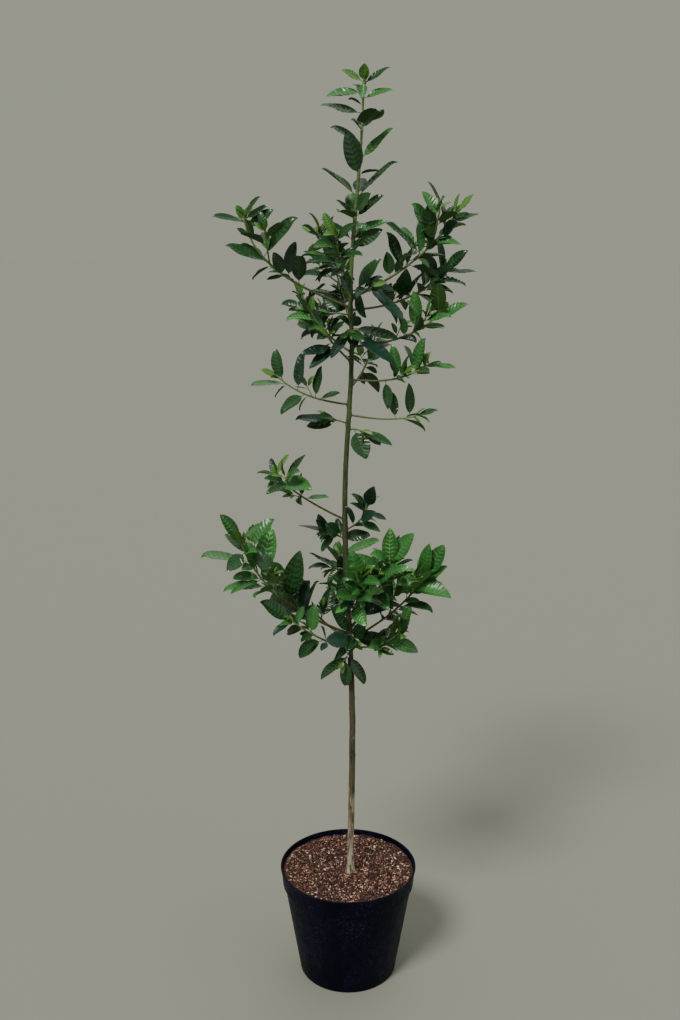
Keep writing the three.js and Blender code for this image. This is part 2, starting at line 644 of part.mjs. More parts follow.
// Leaf k of a limb by the rule; attempt turns it round the limb until it finds room
function drawLeaf(shoot, limb, from, k, count, seed, attempt) {
  const random = randomFrom(seed);
  const draw = Array.from({ length: 8 }, () => random());
  const share = (k + 0.5) / count;
  const [root, stemAlong] = onPath(limb.path, lerp(from, 1, 1 - (1 - share) ** RULE.crowding));
  const golden = shoot.seed * RULE.shootTurn + k * RULE.goldenTurn;
  const turn = golden + spreadBy(RULE.turnSpread, draw[0]) + swingOf(attempt, RULE.swing);
  const spread = lerp(RULE.spreadRoot, RULE.spreadTip, share) + spreadBy(RULE.spreadSpread, draw[1]);
  const along = spreadFrom(stemAlong, turn, spread);
  along.addScaledVector(UP, shoot.stand * (1 - RULE.standFade * share)).normalize();
  const lean = direction(RULE.leanHeading + spreadBy(RULE.leanSpread, draw[7]), 0);
  const scale = share > RULE.youngFrom ? RULE.youngScale : 1;
  const length = shoot.leaf * scale * within(RULE.length, draw[2]);
  return {
    root,
    along,
    face: faceOf(along, [stemAlong, RULE.faceAlong], [lean, RULE.lean]),
    length,
    width: length * (shoot.broad + spreadBy(RULE.broadSpread, draw[3])),
    bend: within(RULE.bend, draw[4]),
    hook: within(RULE.hook, draw[5]),
    fold: within(RULE.fold, draw[6]),
  };
}

// A leaf that stands out, by its own sizes; attempt turns its heading a little
function ownLeaf(root, [heading, rise, length, width, front], seed, attempt) {
  const random = randomFrom(seed);
  const swing = swingOf(attempt, OWN_RULE.swing);
  const along = direction(heading + swing, rise + swing / 2);
  return {
    root,
    along,
    face: faceOf(along, [FRONT, front]),
    length,
    width,
    bend: within(OWN_RULE.bend, random()),
    hook: within(OWN_RULE.hook, random()),
    fold: within(OWN_RULE.fold, random()),
  };
}

// Does a leaf keep its distances to every leaf placed so far and to every limb?
function hasRoom(leaf, mass, carrier, placed, limbs) {
  const samples = leafSamples(leaf);
  for (const limb of limbs) {
    if (limb === carrier) continue;
    const keep = mass.limbs.includes(limb) ? KEEP.ownLimb : KEEP.limb;
    if (samples.some((point) => distanceToPath(point, limb) < keep)) return false;
  }
  for (const other of placed) {
    const keep = other.mass === mass ? KEEP.own : KEEP.others;
    if (other.leaf.root.distanceTo(leaf.root) > KEEP.farRoots) continue;
    if (samples.some((a) => other.samples.some((b) => a.distanceTo(b) < keep))) return false;
  }
  return true;
}

// Tries a leaf in a few directions, and keeps it where it first has room
function place(leafAt, mass, carrier, placed, limbs) {
  for (let attempt = 0; attempt < TRIES; attempt += 1) {
    const leaf = leafAt(attempt);
    if (!hasRoom(leaf, mass, carrier, placed, limbs)) continue;
    placed.push({ mass, leaf, samples: leafSamples(leaf) });
    mass.leaves.push(leaf);
    return;
  }
}

function growLeaves(mass, carrier, from, count, seed, placed, limbs) {
  for (let k = 0; k < count; k += 1) {
    const leafAt = (attempt) => drawLeaf(mass.shoot, carrier, from, k, count, seed + k, attempt);
    place(leafAt, mass, carrier, placed, limbs);
  }
}

// A stretch of the trunk as a limb
function stretchOfTrunk(from, to, steps) {
  const path = Array.from({ length: steps + 1 }, (_, k) => trunkAxis(lerp(from, to, k / steps)));
  return { path, length: to - from, radiusAt: (share) => trunkRadius(lerp(from, to, share)) };
}

// The whole plant above the compost: every limb first, then every leaf, mass by mass
function growPlant() {
  const leader = stretchOfTrunk(TRUNK.tip, LEADER.tip, LEADER.pathSteps);
  const limbs = [stretchOfTrunk(SOIL.top, TRUNK.tip, TRUNK.pathSteps), leader];
  const masses = SHOOTS.map((shoot) => {
    const rootRadius = LIMB.baseRadius + LIMB.radiusPerLength * shoot.length;
    const stem = makeLimb(shootPath(shoot), shoot.length, rootRadius, LIMB.tipRadius);
    limbs.push(stem);
    return { shoot, stem, limbs: [stem], leaves: [] };
  });
  for (const mass of masses) {
    const twigs = sideTwigs(mass.shoot, mass.stem, limbs);
    mass.limbs.push(...twigs);
    limbs.push(...twigs);
  }
  const top = { limbs: [leader], leaves: [] };
  const placed = [];
  LEADER_LEAVES.forEach(([height, ...sizes], k) => {
    const leafAt = (attempt) => ownLeaf(trunkAxis(height), sizes, SEED.leader + k, attempt);
    place(leafAt, top, leader, placed, limbs);
  });
  for (const mass of masses) {
    mass.shoot.own.forEach(([share, ...sizes], k) => {
      const [root] = onPath(mass.stem.path, share);
      const seed = mass.shoot.seed * SEED.shoot + SEED.own + k;
      place((attempt) => ownLeaf(root, sizes, seed, attempt), mass, mass.stem, placed, limbs);
    });
  }
  for (const mass of masses) {
    const { shoot, stem, limbs: [, ...twigs] } = mass;
    const from = shoot.bare > 0 ? shoot.bare + RULE.afterBare : RULE.fromTrunk;
    const seed = shoot.seed * SEED.shoot;
    growLeaves(mass, stem, from, shoot.leaves, seed, placed, limbs);
    twigs.forEach((twig, q) => {
      const twigSeed = seed + SEED.twigLeaves + SEED.nextTwig * q;
      growLeaves(mass, twig, RULE.fromTwigRoot, TWIG.leaves, twigSeed, placed, limbs);
    });
  }
  return { masses, top };
}

// ---------------------------------------------------------------- the pieces

const plant = new THREE.Group();

function addPiece(name, geometry, finish) {
  const { color, roughness } = FINISH[finish];
  const material = new THREE.MeshStandardMaterial({ color, roughness, metalness: 0 });
  const mesh = new THREE.Mesh(geometry, material);
  mesh.name = name;
  plant.add(mesh);
}

// A turned body standing upright, from [radius, height] pairs
function turned(outline) {
  const profile = outline.map(([radius, height]) => new THREE.Vector2(radius, height));
  return new THREE.LatheGeometry(profile, POT.sides).rotateX(Math.PI / 2);
}

// Radius of the pot's inner wall at a height
function potInside(z) {
  const top = POT.rimRadius - POT.lipWidth;
  return lerp(POT.baseRadius - POT.wall, top, (z - POT.floor) / (POT.height - POT.floor));
}

function potGeometry() {
  const collarFoot = POT.height - POT.collarDepth;
  const collarTop = POT.rimRadius - POT.lipOut;
  const bodyTop = collarTop - POT.collarFlare - POT.collarStep;
  const shell = toSolid(turned([
    [0, 0],
    [POT.baseRadius - POT.footChamfer, 0],
    [POT.baseRadius, POT.footChamfer],
    [bodyTop, collarFoot],
    [bodyTop + POT.collarStep, collarFoot + POT.bevel],
    [collarTop, POT.height - POT.lipHeight],
    [POT.rimRadius, POT.height - POT.lipHeight + POT.bevel],
    [POT.rimRadius, POT.height],
    [potInside(POT.height), POT.height],
    [potInside(POT.floor), POT.floor],
    [0, POT.floor],
  ]));
  const drill = new THREE.CylinderGeometry(DRAIN.radius, DRAIN.radius, 4 * POT.floor, DRAIN.sides);
  drill.rotateX(Math.PI / 2).translate(DRAIN.ring, 0, 0);
  let pot = shell;
  for (let k = 0; k < DRAIN.count; k += 1) {
    pot = pot.subtract(toSolid(drill.clone().rotateZ((2 * Math.PI * (k + 0.5)) / DRAIN.count)));
  }
  return toGeometry(pot);
}

function soilGeometry() {
  const clear = (2 * GAP) / Math.cos(Math.PI / POT.sides);
  const bottom = POT.floor + GAP;
  const edge = SOIL.top + SOIL.edgeRise;
  return turned([
    [0, bottom],
    [potInside(bottom) - clear, bottom],
    [potInside(edge) - clear, edge],
    [SOIL.slopeRadius, SOIL.top + SOIL.slopeRise],
    [SOIL.plateau, SOIL.top],
    [0, SOIL.top],
  ]);
}

function buildPlant() {
  addPiece('pot', potGeometry(), 'pot');
  addPiece('soil', toGeometry(toSolid(soilGeometry())), 'soil');
  const trunkSolid = (extra) => loft(trunkRings(SOIL.top + GAP, TRUNK.tip, extra, TRUNK.sides));
  addPiece('trunk', trunkSolid(0), 'bark');

  // What meets the trunk is cut by a sleeve round it, so that it stays clear by the gap
  const trunkRoom = toSolid(trunkSolid(GAP / Math.cos(Math.PI / TRUNK.sides)));
  const { masses, top } = growPlant();
  for (const { shoot, stem, limbs: [, ...twigs], leaves } of masses) {
    const halfGap = GAP / 2 / shoot.length;
    const ringsOver = (share) => Math.max(2, Math.ceil((share * shoot.length) / LIMB.ringStep));
    let mass;
    if (shoot.bare > 0) {
      const [boughTip, massFoot] = [shoot.bare - halfGap, shoot.bare + halfGap];
      const bough = limbSolid(stem, 0, boughTip, LIMB.sides, ringsOver(boughTip));
      addPiece(`bough_${shoot.name}`, toGeometry(largestOf(bough.subtract(trunkRoom))), 'twig');
      mass = limbSolid(stem, massFoot, 1, LIMB.sides, ringsOver(1 - massFoot));
    } else {
      const whole = limbSolid(stem, 0, 1, LIMB.sides, ringsOver(1));
      mass = largestOf(whole.subtract(trunkRoom));
    }
    for (const twig of twigs) mass = mass.add(limbSolid(twig, 0, 1, TWIG.sides, TWIG.rings));
    for (const leaf of leaves) mass = mass.add(leafSolid(leaf));
    addPiece(`leaves_${shoot.name}`, toGeometry(largestOf(mass)), shoot.tint);
  }

  let leader = toSolid(loft(trunkRings(TRUNK.tip + GAP, LEADER.tip, 0, LEADER.sides)));
  for (const leaf of top.leaves) leader = leader.add(leafSolid(leaf));
  addPiece('leaves_leader', toGeometry(largestOf(leader)), 'green');
}

buildPlant();

export default plant;
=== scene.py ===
"""A young holly tree in a black nursery pot, 1.79 m tall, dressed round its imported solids.

The trunk, shoots and leaves grow by the same seeded rule as the solids, in millimetres and
degrees, and then a little finer within the same reach. Every mesh is put down in metres, +Z up,
with the origin at the centre of the pot's flat underside. Headings turn about +Z: 0 is right
(+X), 90 is back (+Y) and 180 is left.
"""

from dataclasses import dataclass, field
from math import ceil, cos, pi, radians, sin
from types import SimpleNamespace as Sizes

import bpy
import numpy as np
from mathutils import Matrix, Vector

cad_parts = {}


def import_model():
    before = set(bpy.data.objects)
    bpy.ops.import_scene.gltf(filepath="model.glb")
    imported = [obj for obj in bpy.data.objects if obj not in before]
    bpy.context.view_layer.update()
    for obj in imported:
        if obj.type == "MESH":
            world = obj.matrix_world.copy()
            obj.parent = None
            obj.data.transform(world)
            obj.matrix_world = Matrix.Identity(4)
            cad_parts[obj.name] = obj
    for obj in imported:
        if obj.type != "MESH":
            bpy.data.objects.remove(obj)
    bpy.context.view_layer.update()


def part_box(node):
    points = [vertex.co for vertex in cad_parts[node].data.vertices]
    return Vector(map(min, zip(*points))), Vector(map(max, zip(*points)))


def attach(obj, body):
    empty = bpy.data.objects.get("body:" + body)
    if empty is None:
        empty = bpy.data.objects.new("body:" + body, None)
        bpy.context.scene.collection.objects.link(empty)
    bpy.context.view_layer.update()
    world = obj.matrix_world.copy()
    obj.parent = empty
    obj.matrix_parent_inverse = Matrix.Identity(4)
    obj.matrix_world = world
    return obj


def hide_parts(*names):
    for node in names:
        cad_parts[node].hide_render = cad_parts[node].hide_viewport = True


MM = 0.001  # metres in a millimetre

# ---------------------------------------------------------------- sizes, in millimetres

POT = Sizes(
    height=234, rim_radius=140, lip_width=3.4, lip_height=4.6, lip_out=1.6,
    collar_depth=38, collar_step=3.6, collar_flare=3.2,
    base_radius=100, foot_chamfer=3, wall=2.4, floor=3, sides=160,
    hollow=0.8, hollow_radius=26, foot_ring=28, foot_round=2.5, step_round=1.2, collar_round=1,
    wall_steps=24, collar_steps=7, inner_heights=(224, 205, 120, 40),
    corner_in=0.6, corner_up=2, floor_in=4,
)
DRAIN = Sizes(count=6, radius=7, ring=78, sides=32, drill=(-4.0, 9.0))
SOIL = Sizes(
    top=217, plateau=18, slope_radius=54, slope_rise=2.5, edge_rise=8, clear=0.7,
    waves=26, wave=0.26, wave_rate=(0.08, 0.75), rings=50, sides=160, inmost=2.5,
    off_floor=0.3, foot_in=5, foot_up=4, rim_low=3, rim_dip=1.5,
)
TRUNK = Sizes(
    tip=1468, top=1790, radius=6.6, taper_power=0.4, flare=4.5, flare_height=13, path_steps=40,
    sides=36, ring_step=1.8, sunk=4,
)
# The leader, and the place of its first finer leaf, their length, breadth and number
LEADER = Sizes(tip=1762, path_steps=12, first_leaf=0.04, leaf=54, broad=0.36, leaves=6)
# Where the trunk's sway turns round, as [height, offset]: sideways, then front to back
SWAY_X = [[217, 5], [525, 8], [1005, -7.5], [1310, 5], [1377, 2.5], [1764, 24]]
SWAY_Y = [[217, 0], [640, -5], [1180, 5], [1764, -4]]

LIMB = Sizes(steps=24, base_radius=1.3, radius_per_length=0.0052, tip_radius=1.3)
TWIG = Sizes(
    turns=(160, 20), turn_spread=30, spread=48, length=(0.2, 0.28), last_at=0.82, in_step=0.6,
    lift=0.09, steps=6, root_radius=1.6, tip_radius=1.3, leaves=4,
)
LEAF = Sizes(stalk=0.14, outline_power=0.7, hook_from=0.75, steps=20)
RULE = Sizes(
    golden_turn=137.5, turn_spread=36, shoot_turn=40, crowding=1.25,
    spread_root=66, spread_tip=26, spread_spread=22, stand_fade=0.6,
    length=(0.85, 1.15), young_from=0.76, young_scale=0.66, broad_spread=0.1,
    face_along=0.4, lean=1, lean_heading=-90, lean_spread=220,
    bend=(8, 42), hook=(0, 70), fold=(12, 30), swing=38,
    after_bare=0.04, from_trunk=0.2, from_twig_root=0.25,
)
OWN_RULE = Sizes(bend=(-8, 12), hook=(15, 65), fold=(6, 16), swing=9)
# Clear distances that a leaf keeps: to leaves of other masses, of its own mass, and to limbs
KEEP = Sizes(others=9, own=5.5, limb=5, own_limb=2.2, twig=9, far_roots=200)
TRIES = 6  # directions tried for a leaf before it is skipped
SAMPLE = Sizes(shares=(0.3, 0.48, 0.66, 0.84, 1), edge=0.62, wider_than=3)
SEED = Sizes(leader=7000, shoot=100, twig_leaves=20, next_twig=10, own=60, twig_path=90)
# Seeds of the other streams of draws
STREAM = Sizes(finer=31, bark=77, bed=8, chips=5, shoots=41, looks=67, leaves=59)
MOST_POINTS = 20000  # points of leaves that there is space for

# What grows on after the rule, with smaller clear distances: fill, which is smaller leaves
# between those of the rule, short twiglets, and a tuft of young leaves at every tip
FINE = Sizes(
    keep=Sizes(others=6, own=3.4, limb=3, own_limb=1.5, far_roots=200), swing=50, lean_turn=100,
    fill_share=0.9, fill_scale=(0.5, 0.8), fill_spread=(38, 70), fill_step=(0.2, 0.8),
    fill_to=0.97,
    twiglet_step=78, twiglet_length=(16, 32), twiglet_radius=1.0, twiglet_tip=0.7,
    twiglet_steps=5, twiglet_turn=(-30, 210), twiglet_spread=(38, 58), twiglet_at=(0.2, 0.9),
    twiglet_jitter=(0.3, 0.9), twiglet_leaf=(24, 40), twiglet_leaves=2,
    twiglet_leaves_at=(0.35, 0.8), twiglet_leaf_spread=50,
    tuft_keep=Sizes(others=4, own=1.2, limb=2, own_limb=0.4, far_roots=200), tuft_swing=40,
    tuft_leaves=4, tuft_leaf=(15, 32), tuft_spread=(14, 50), tuft_step=0.02, tuft_broad=0.36,
)


@dataclass
class Shoot:
    """A shoot: root height z, heading, rise at its root and tip, length, the seed of its leaves,
    turn of heading along it, bow (how late it turns up), the share of it that is bare bough,
    leaves on its stem, side twigs, leaf length, how broad its leaves are for their length, how
    far they stand up or hang, and their tint. Its own leaves are rows of share along it,
    heading, rise, length, width, and how far the leaf faces the front."""

    name: str
    z: float
    heading: float
    rise: float
    tip_rise: float
    length: float
    seed: int
    turn: float = 0
    bow: float = 1.6
    bare: float = 0.3
    leaves: int = 8
    twigs: int = 0
    leaf: float = 62
    broad: float = 0.38
    stand: float = 0.1
    tint: str = "dark"
    own: list = field(default_factory=list)


SHOOTS = [
    Shoot("high_left", 1372, 190, 22, 86, 268, 11, bow=2.4, bare=0.34, leaves=4, twigs=1, own=[
        (0.95, -170, 10, 59, 20, 0.7), (0.99, -29, 44, 48, 17, 0.7), (0.97, -9, 27, 49, 20, 0.7),
        (0.91, -11, 32, 60, 23, 1.6), (0.85, -171, 32, 27, 12, 1.6), (0.65, -171, 20, 81, 25, 0.7),
        (0.69, -25, 52, 97, 30, 0.7), (0.51, -142, 63, 45, 23, 1.6), (0.39, -85, 61, 66, 28, 0.2),
        (0.96, -144, 59, 30, 15, 1.6),
    ]),
    Shoot("high_left_inner", 1416, 150, 42, 70, 112, 12, bare=0, leaves=11, tint="green", own=[
        (0.34, -148, 65, 74, 29, 1.6),
    ]),
    Shoot("high_right", 1388, -6, 26, 60, 248, 13, turn=8, bare=0.3, leaves=8, twigs=2, stand=0.2, own=[
        (0.61, -154, 39, 91, 39, 0.4), (0.44, -152, 64, 74, 27, 0.7), (0.33, -132, 77, 47, 23, 1.6),
        (0.69, -104, 79, 77, 29, 1.6), (0.73, -160, 59, 81, 49, 0.4), (0.92, -164, 57, 83, 25, 0.4),
        (1, -14, 44, 44, 16, 0.7), (0.92, -8, 13, 53, 19, 0.7), (0.8, -47, 29, 47, 27, 1.6),
        (0.73, -10, 3, 40, 16, 1),
    ]),
    Shoot("high_right_back", 1368, 30, 2, 46, 212, 14, turn=-8, leaves=8, twigs=1, own=[
        (1, -124, 75, 62, 23, 0.4), (0.9, -122, 43, 68, 34, 1.6), (0.52, -84, 50, 74, 31, 1.6),
        (0.37, -86, 40, 61, 26, 1.6), (0.82, -15, 44, 60, 23, 1.6), (1, -15, 41, 62, 24, 1),
        (1, -9, 0, 64, 19, 0.4),
    ]),
    Shoot("high_right_inner", 1402, -52, 6, 10, 60, 15, bare=0, leaves=4, stand=-0.4, tint="bluish", own=[
        (0.25, -24, 54, 75, 27, 0.7), (0.88, -15, -38, 83, 35, 0.4),
    ]),
    Shoot("high_front", 1408, -104, 26, 60, 150, 16, leaves=8, stand=0),
    Shoot("high_back", 1340, 98, 24, 66, 226, 17, turn=10, leaves=9, twigs=1),
    Shoot("mid_right", 1301, 8, 4, 46, 182, 18, bare=0.38, leaves=5, twigs=1, leaf=58, stand=0.2,
          tint="green", own=[
        (0.97, -99, 51, 74, 31, 0.2), (0.69, -127, 80, 75, 30, 0.4), (0.95, -10, 21, 63, 25, 1),
        (0.55, -95, 74, 35, 15, 1.6),
    ]),
    Shoot("mid_left", 1271, 202, 44, 60, 130, 19, bare=0.32, leaves=4, leaf=58, tint="green", own=[
        (0.91, -166, 50, 48, 16, 0.7), (0.6, 178, 56, 51, 19, 1), (0.58, -171, 27, 65, 22, 0.4),
        (0.35, -171, -13, 68, 23, 0.7), (0.35, -170, -41, 64, 25, 0.7),
    ]),
    Shoot("mid_front_spur", 1338, -95, -5, -20, 32, 20, bare=0, leaves=3, leaf=64, stand=-0.5,
          tint="bluish", own=[
        (0.25, -71, -58, 42, 25, 1.5), (0.25, -9, -13, 91, 32, 0.7), (1, -12, -37, 113, 42, 0.4),
    ]),
    Shoot("mid_left_spur", 1358, 176, 12, -5, 42, 21, bare=0, leaves=2, stand=-0.3, own=[
        (0.41, 178, 5, 71, 27, 0.7),
    ]),
    Shoot("mid_back_left", 1290, 132, 20, 60, 178, 22, leaves=8, twigs=1),
    Shoot("waist_right", 1240, -20, -3, 38, 154, 23, bare=0.4, leaves=3, leaf=54, stand=0.25,
          tint="green", own=[
        (0.82, -53, 73, 68, 28, 0.4), (0.84, 179, 68, 53, 24, 0.2), (0.59, 200, 81, 63, 23, 0.7),
        (1, -10, -3, 52, 20, 0.4), (0.44, -64, -76, 54, 20, 0.2),
    ]),
    Shoot("waist_back", 1225, 72, 12, 52, 186, 24, bare=0.35, leaves=9, leaf=58),
    Shoot("waist_left", 1193, 186, 8, 46, 150, 25, bare=0.36, leaves=2, leaf=56, own=[
        (0.68, -29, 82, 77, 32, 0.2), (0.95, -162, 30, 41, 14, 1), (0.84, -170, 5, 67, 30, 0.2),
        (0.39, -14, 22, 43, 17, 0.7), (0.44, -57, 75, 63, 22, 0.4),
    ]),
    Shoot("waist_right_low", 1174, -14, -8, 16, 130, 26, bare=0.42, leaves=1, leaf=52, stand=0.25, own=[
        (0.69, 125, 74, 52, 19, 0.2), (0.9, -116, 82, 66, 20, 0.4), (0.99, -15, 22, 44, 17, 0.7),
    ]),
    Shoot("waist_spur", 1146, -30, 10, -20, 30, 27, bare=0, leaves=1, leaf=60, stand=-0.5,
          tint="bluish", own=[
        (0.7, -10, -23, 72, 24, 0.4), (0.46, -47, -58, 62, 37, 1.3),
    ]),
    Shoot("waist_left_spur", 1156, 188, 25, 0, 36, 28, bare=0, leaves=1, leaf=62, stand=-0.3, own=[
        (0.77, -170, 4, 75, 31, 0.4), (0.57, 177, -11, 61, 23, 1.6),
    ]),
    Shoot("low_left", 971, 184, 27, 46, 166, 29, bare=0.5, leaves=5, twigs=1, leaf=50, stand=0.2,
          tint="green", own=[
        (0.84, -15, 53, 72, 27, 0.4), (0.96, -19, 59, 51, 16, 0.4), (0.88, -50, 0, 91, 38, 1.6),
        (0.53, -9, 5, 46, 20, 0.2),
    ]),
    Shoot("low_right", 950, -10, 30, 80, 66, 30, bare=0, leaves=5, leaf=52, tint="bluish", own=[
        (1, -77, 46, 66, 26, 1.6), (0.51, -47, 32, 49, 22, 1.6), (0.84, -10, -16, 43, 16, 0.4),
    ]),
    Shoot("low_spur", 934, 150, 12, 4, 38, 31, bare=0, leaves=4, leaf=56, stand=-0.2, own=[
        (0.33, -133, 41, 48, 29, 1.6), (0.82, -170, 20, 68, 29, 0.2), (0.25, 9, 3, 59, 25, 1.6),
    ]),
    Shoot("base_left", 741, 190, 25, 74, 302, 32, bare=0.24, leaves=7, twigs=3, leaf=68,
          broad=0.44, stand=0.2, tint="green", own=[
        (0.99, -155, 58, 66, 28, 0.7), (0.99, -15, 43, 59, 23, 0.4), (0.84, -170, 15, 96, 39, 0.2),
        (0.91, -127, -25, 55, 28, 1.6), (0.77, -125, 74, 61, 29, 0.4), (0.72, 41, 73, 99, 40, 1.4),
        (0.47, -46, 72, 115, 40, 1.4), (0.64, -170, 0, 89, 33, 0.2), (0.7, -146, -12, 71, 25, 0.2),
        (0.35, -50, 75, 72, 32, 0.4),
    ]),
    Shoot("base_left_low", 708, 206, 26, 44, 150, 33, leaves=4, broad=0.44, own=[
        (1, -161, 39, 73, 33, 1), (0.99, -166, -31, 47, 21, 0.2), (0.62, -124, 2, 35, 17, 1.6),
        (0.64, -75, 74, 66, 29, 0.4), (0.37, -113, -13, 31, 14, 1.6),
    ]),
    Shoot("base_right_upright", 752, -30, 50, 76, 184, 34, bare=0.25, leaves=10, twigs=1, leaf=72,
          broad=0.48, stand=0.2, tint="bright", own=[
        (0.92, -90, 81, 77, 31, 1.5), (0.94, -12, 53, 77, 34, 1.3), (0.88, -6, 51, 56, 23, 0.7),
    ]),
    Shoot("base_right", 728, 4, 30, 62, 208, 35, bare=0.28, leaves=8, twigs=2, leaf=72, broad=0.48,
          tint="bright", own=[
        (0.91, -44, 78, 78, 28, 0.4), (0.94, -19, 60, 80, 34, 1.4), (0.9, -9, 31, 59, 25, 0.7),
        (0.72, 4, 31, 61, 27, 0.7),
    ]),
    Shoot("base_front", 762, -78, 40, 72, 166, 36, bare=0.25, leaves=10, leaf=70, broad=0.46,
          tint="bright", own=[
        (0.81, -136, 75, 81, 38, 1.4), (0.64, -142, 71, 52, 23, 1.6), (0.29, -167, 28, 42, 22, 1.6),
    ]),
    Shoot("base_right_front", 714, -42, 12, 50, 144, 37, leaves=5, leaf=66, broad=0.44, stand=0,
          tint="green", own=[
        (1, -33, 69, 57, 27, 0.4), (1, -72, 41, 56, 19, 1.3), (0.63, -41, 31, 49, 21, 1.3),
    ]),
    Shoot("base_back", 736, 96, 26, 60, 200, 38, leaves=8, twigs=1, leaf=66, broad=0.44, own=[
        (1, -10, 26, 87, 42, 0.2),
    ]),
    Shoot("base_back_left", 724, 146, 24, 56, 196, 39, leaves=8, twigs=1, leaf=66, broad=0.44),
    Shoot("base_back_right", 748, 50, 30, 62, 202, 40, leaves=8, twigs=1, leaf=68, broad=0.44,
          tint="green"),
    Shoot("base_spur", 700, -120, -6, -30, 28, 41, bare=0, leaves=1, leaf=60, stand=-0.9, own=[
        (0.25, -164, -33, 74, 29, 0.4), (0.25, -27, -53, 67, 24, 0.4),
    ]),
    Shoot("base_front_spur", 744, -75, 0, -25, 36, 42, bare=0, leaves=3, leaf=62, stand=-0.3, own=[
        (0.25, -170, 57, 73, 23, 1.3), (0.84, -171, 2, 54, 32, 1.6), (0.69, -13, -16, 78, 33, 1.6),
        (0.95, -47, 58, 55, 26, 1.6),
    ]),
    Shoot("low_left_spur", 872, 172, 10, -5, 28, 43, bare=0, leaves=2, leaf=58, stand=-0.2, own=[
        (0.51, -171, 29, 68, 26, 0.2),
    ]),
]

# The leader's own leaves, from the tip down, and then those at its back: height on it,
# heading, rise, length, width, and how far the leaf faces the front
LEADER_LEAVES = [
    (1761, -84, 65, 31, 19, 1.4), (1757, -12, 31, 55, 18, 0.7), (1761, -168, 25, 44, 17, 1),
    (1761, -100, -64, 34, 15, 1.6), (1734, -10, 14, 54, 23, 0.7), (1745, -172, -9, 67, 29, 0.7),
    (1709, -171, 9, 78, 26, 0.7), (1689, -68, 13, 79, 44, 0.2), (1632, -11, 40, 79, 27, 0.7),
    (1659, 181, 33, 63, 24, 0.7), (1601, -130, 69, 83, 36, 1.4), (1566, -17, 46, 98, 32, 0.4),
    (1569, -166, 41, 80, 35, 0.4), (1530, -150, 45, 49, 18, 0.7), (1530, -120, 17, 60, 36, 0.2),
    (1542, -57, 36, 52, 29, 1.6), (1532, -16, 40, 65, 25, 0.7), (1507, -11, 19, 64, 23, 0.7),
    (1479, -15, 32, 64, 25, 1.6), (1472, -55, 47, 33, 12, 1.3), (1493, -168, 33, 70, 26, 0.7),
    (1738, 97, 32, 50, 20, 0.7), (1684, 82, 22, 64, 28, 0.7), (1620, 112, 42, 62, 27, 0.7),
    (1572, 78, 28, 66, 27, 0.7), (1538, 100, 38, 62, 28, 0.7), (1500, 76, 24, 62, 26, 0.7),
]

# ---------------------------------------------------------------- directions and draws

LEVEL = 0.05  # shorter than this, a cross product gives no direction
UP = np.array([0.0, 0.0, 1.0])
FRONT = np.array([0.0, -1.0, 0.0])
BACK = -FRONT


def lerp(start, end, share):
    return start + (end - start) * share


def within(pair, draw):
    return lerp(pair[0], pair[1], draw)


def spread_by(whole, draw):
    return whole * (draw - 0.5)


def unit(vectors):
    vectors = np.asarray(vectors, float)
    return vectors / np.linalg.norm(vectors, axis=-1, keepdims=True)


def draws(seed, count):
    """The first numbers of a seed's stream, from 0 to 1. Each state is the last one times
    1664525 plus 1013904223, kept below 2 to the 32, and the first two are left out."""
    whole = 4294967296
    state = seed * 2654435761 % whole
    values = []
    for _ in range(count + 2):
        state = (state * 1664525 + 1013904223) % whole
        values.append(state / whole)
    return values[2:]


def direction(heading, rise):
    """The unit vector that points along a heading and rises by an angle."""
    heading, rise = np.broadcast_arrays(np.radians(heading), np.radians(rise))
    flat = np.cos(rise)
    return np.stack([flat * np.cos(heading), flat * np.sin(heading), np.sin(rise)], axis=-1)


def across_of(along):
    """Two unit vectors across a direction: level to its left, and the one above it."""
    left = np.cross(UP, along)
    if np.linalg.norm(left) < LEVEL:
        left = BACK
    left = unit(left)
    return left, unit(np.cross(along, left))


def spread_from(along, turn, spread):
    """The direction spread away from a limb at a turn round it."""
    left, above = across_of(along)
    out = left * cos(radians(turn)) + above * sin(radians(turn))
    return along * cos(radians(spread)) + out * sin(radians(spread))


def face_of(along, *pulls):
    """The way a leaf's upper side faces: the sky plus each pull times its share, less the part
    of that along the leaf."""
    face = UP + sum(pull * share for pull, share in pulls)
    face = face - along * (face @ along)
    if np.linalg.norm(face) < LEVEL:
        face = across_of(along)[1]
    return unit(face)


# ---------------------------------------------------------------- trunk and limbs

def along_table(table, height):
    """The smooth turn from one [height, value] pair to the next, eased by half a cosine wave."""
    heights, values = np.array(table, float).T
    k = np.clip(np.searchsorted(heights, height) - 1, 0, len(heights) - 2)
    share = np.clip((height - heights[k]) / (heights[k + 1] - heights[k]), 0, 1)
    return lerp(values[k], values[k + 1], (1 - np.cos(pi * share)) / 2)


def trunk_axis(z):
    z = np.asarray(z, float)
    return np.stack([along_table(SWAY_X, z), along_table(SWAY_Y, z), z], axis=-1)


def trunk_radius(z):
    """The taper falls as a power of the height left above, and the root flare dies away upwards
    as an exponential."""
    share = (np.asarray(z, float) - SOIL.top) / (TRUNK.top - SOIL.top)
    taper = TRUNK.radius * (1 - np.maximum(share, 0)) ** TRUNK.taper_power
    return taper + TRUNK.flare * np.exp((SOIL.top - z) / TRUNK.flare_height)


@dataclass(eq=False)
class Limb:
    """A limb's middle line in even steps, its length and its radius at a share of that."""

    path: np.ndarray
    length: float
    radius_at: callable
    nodes: list = field(default_factory=list)


def tapered(path, length, root_radius, tip_radius):
    return Limb(path, length, lambda share: lerp(root_radius, tip_radius, share))


def stretch_of_trunk(start, end, steps):
    path = trunk_axis(np.linspace(start, end, steps + 1))
    return Limb(path, end - start, lambda share: trunk_radius(lerp(start, end, share)))


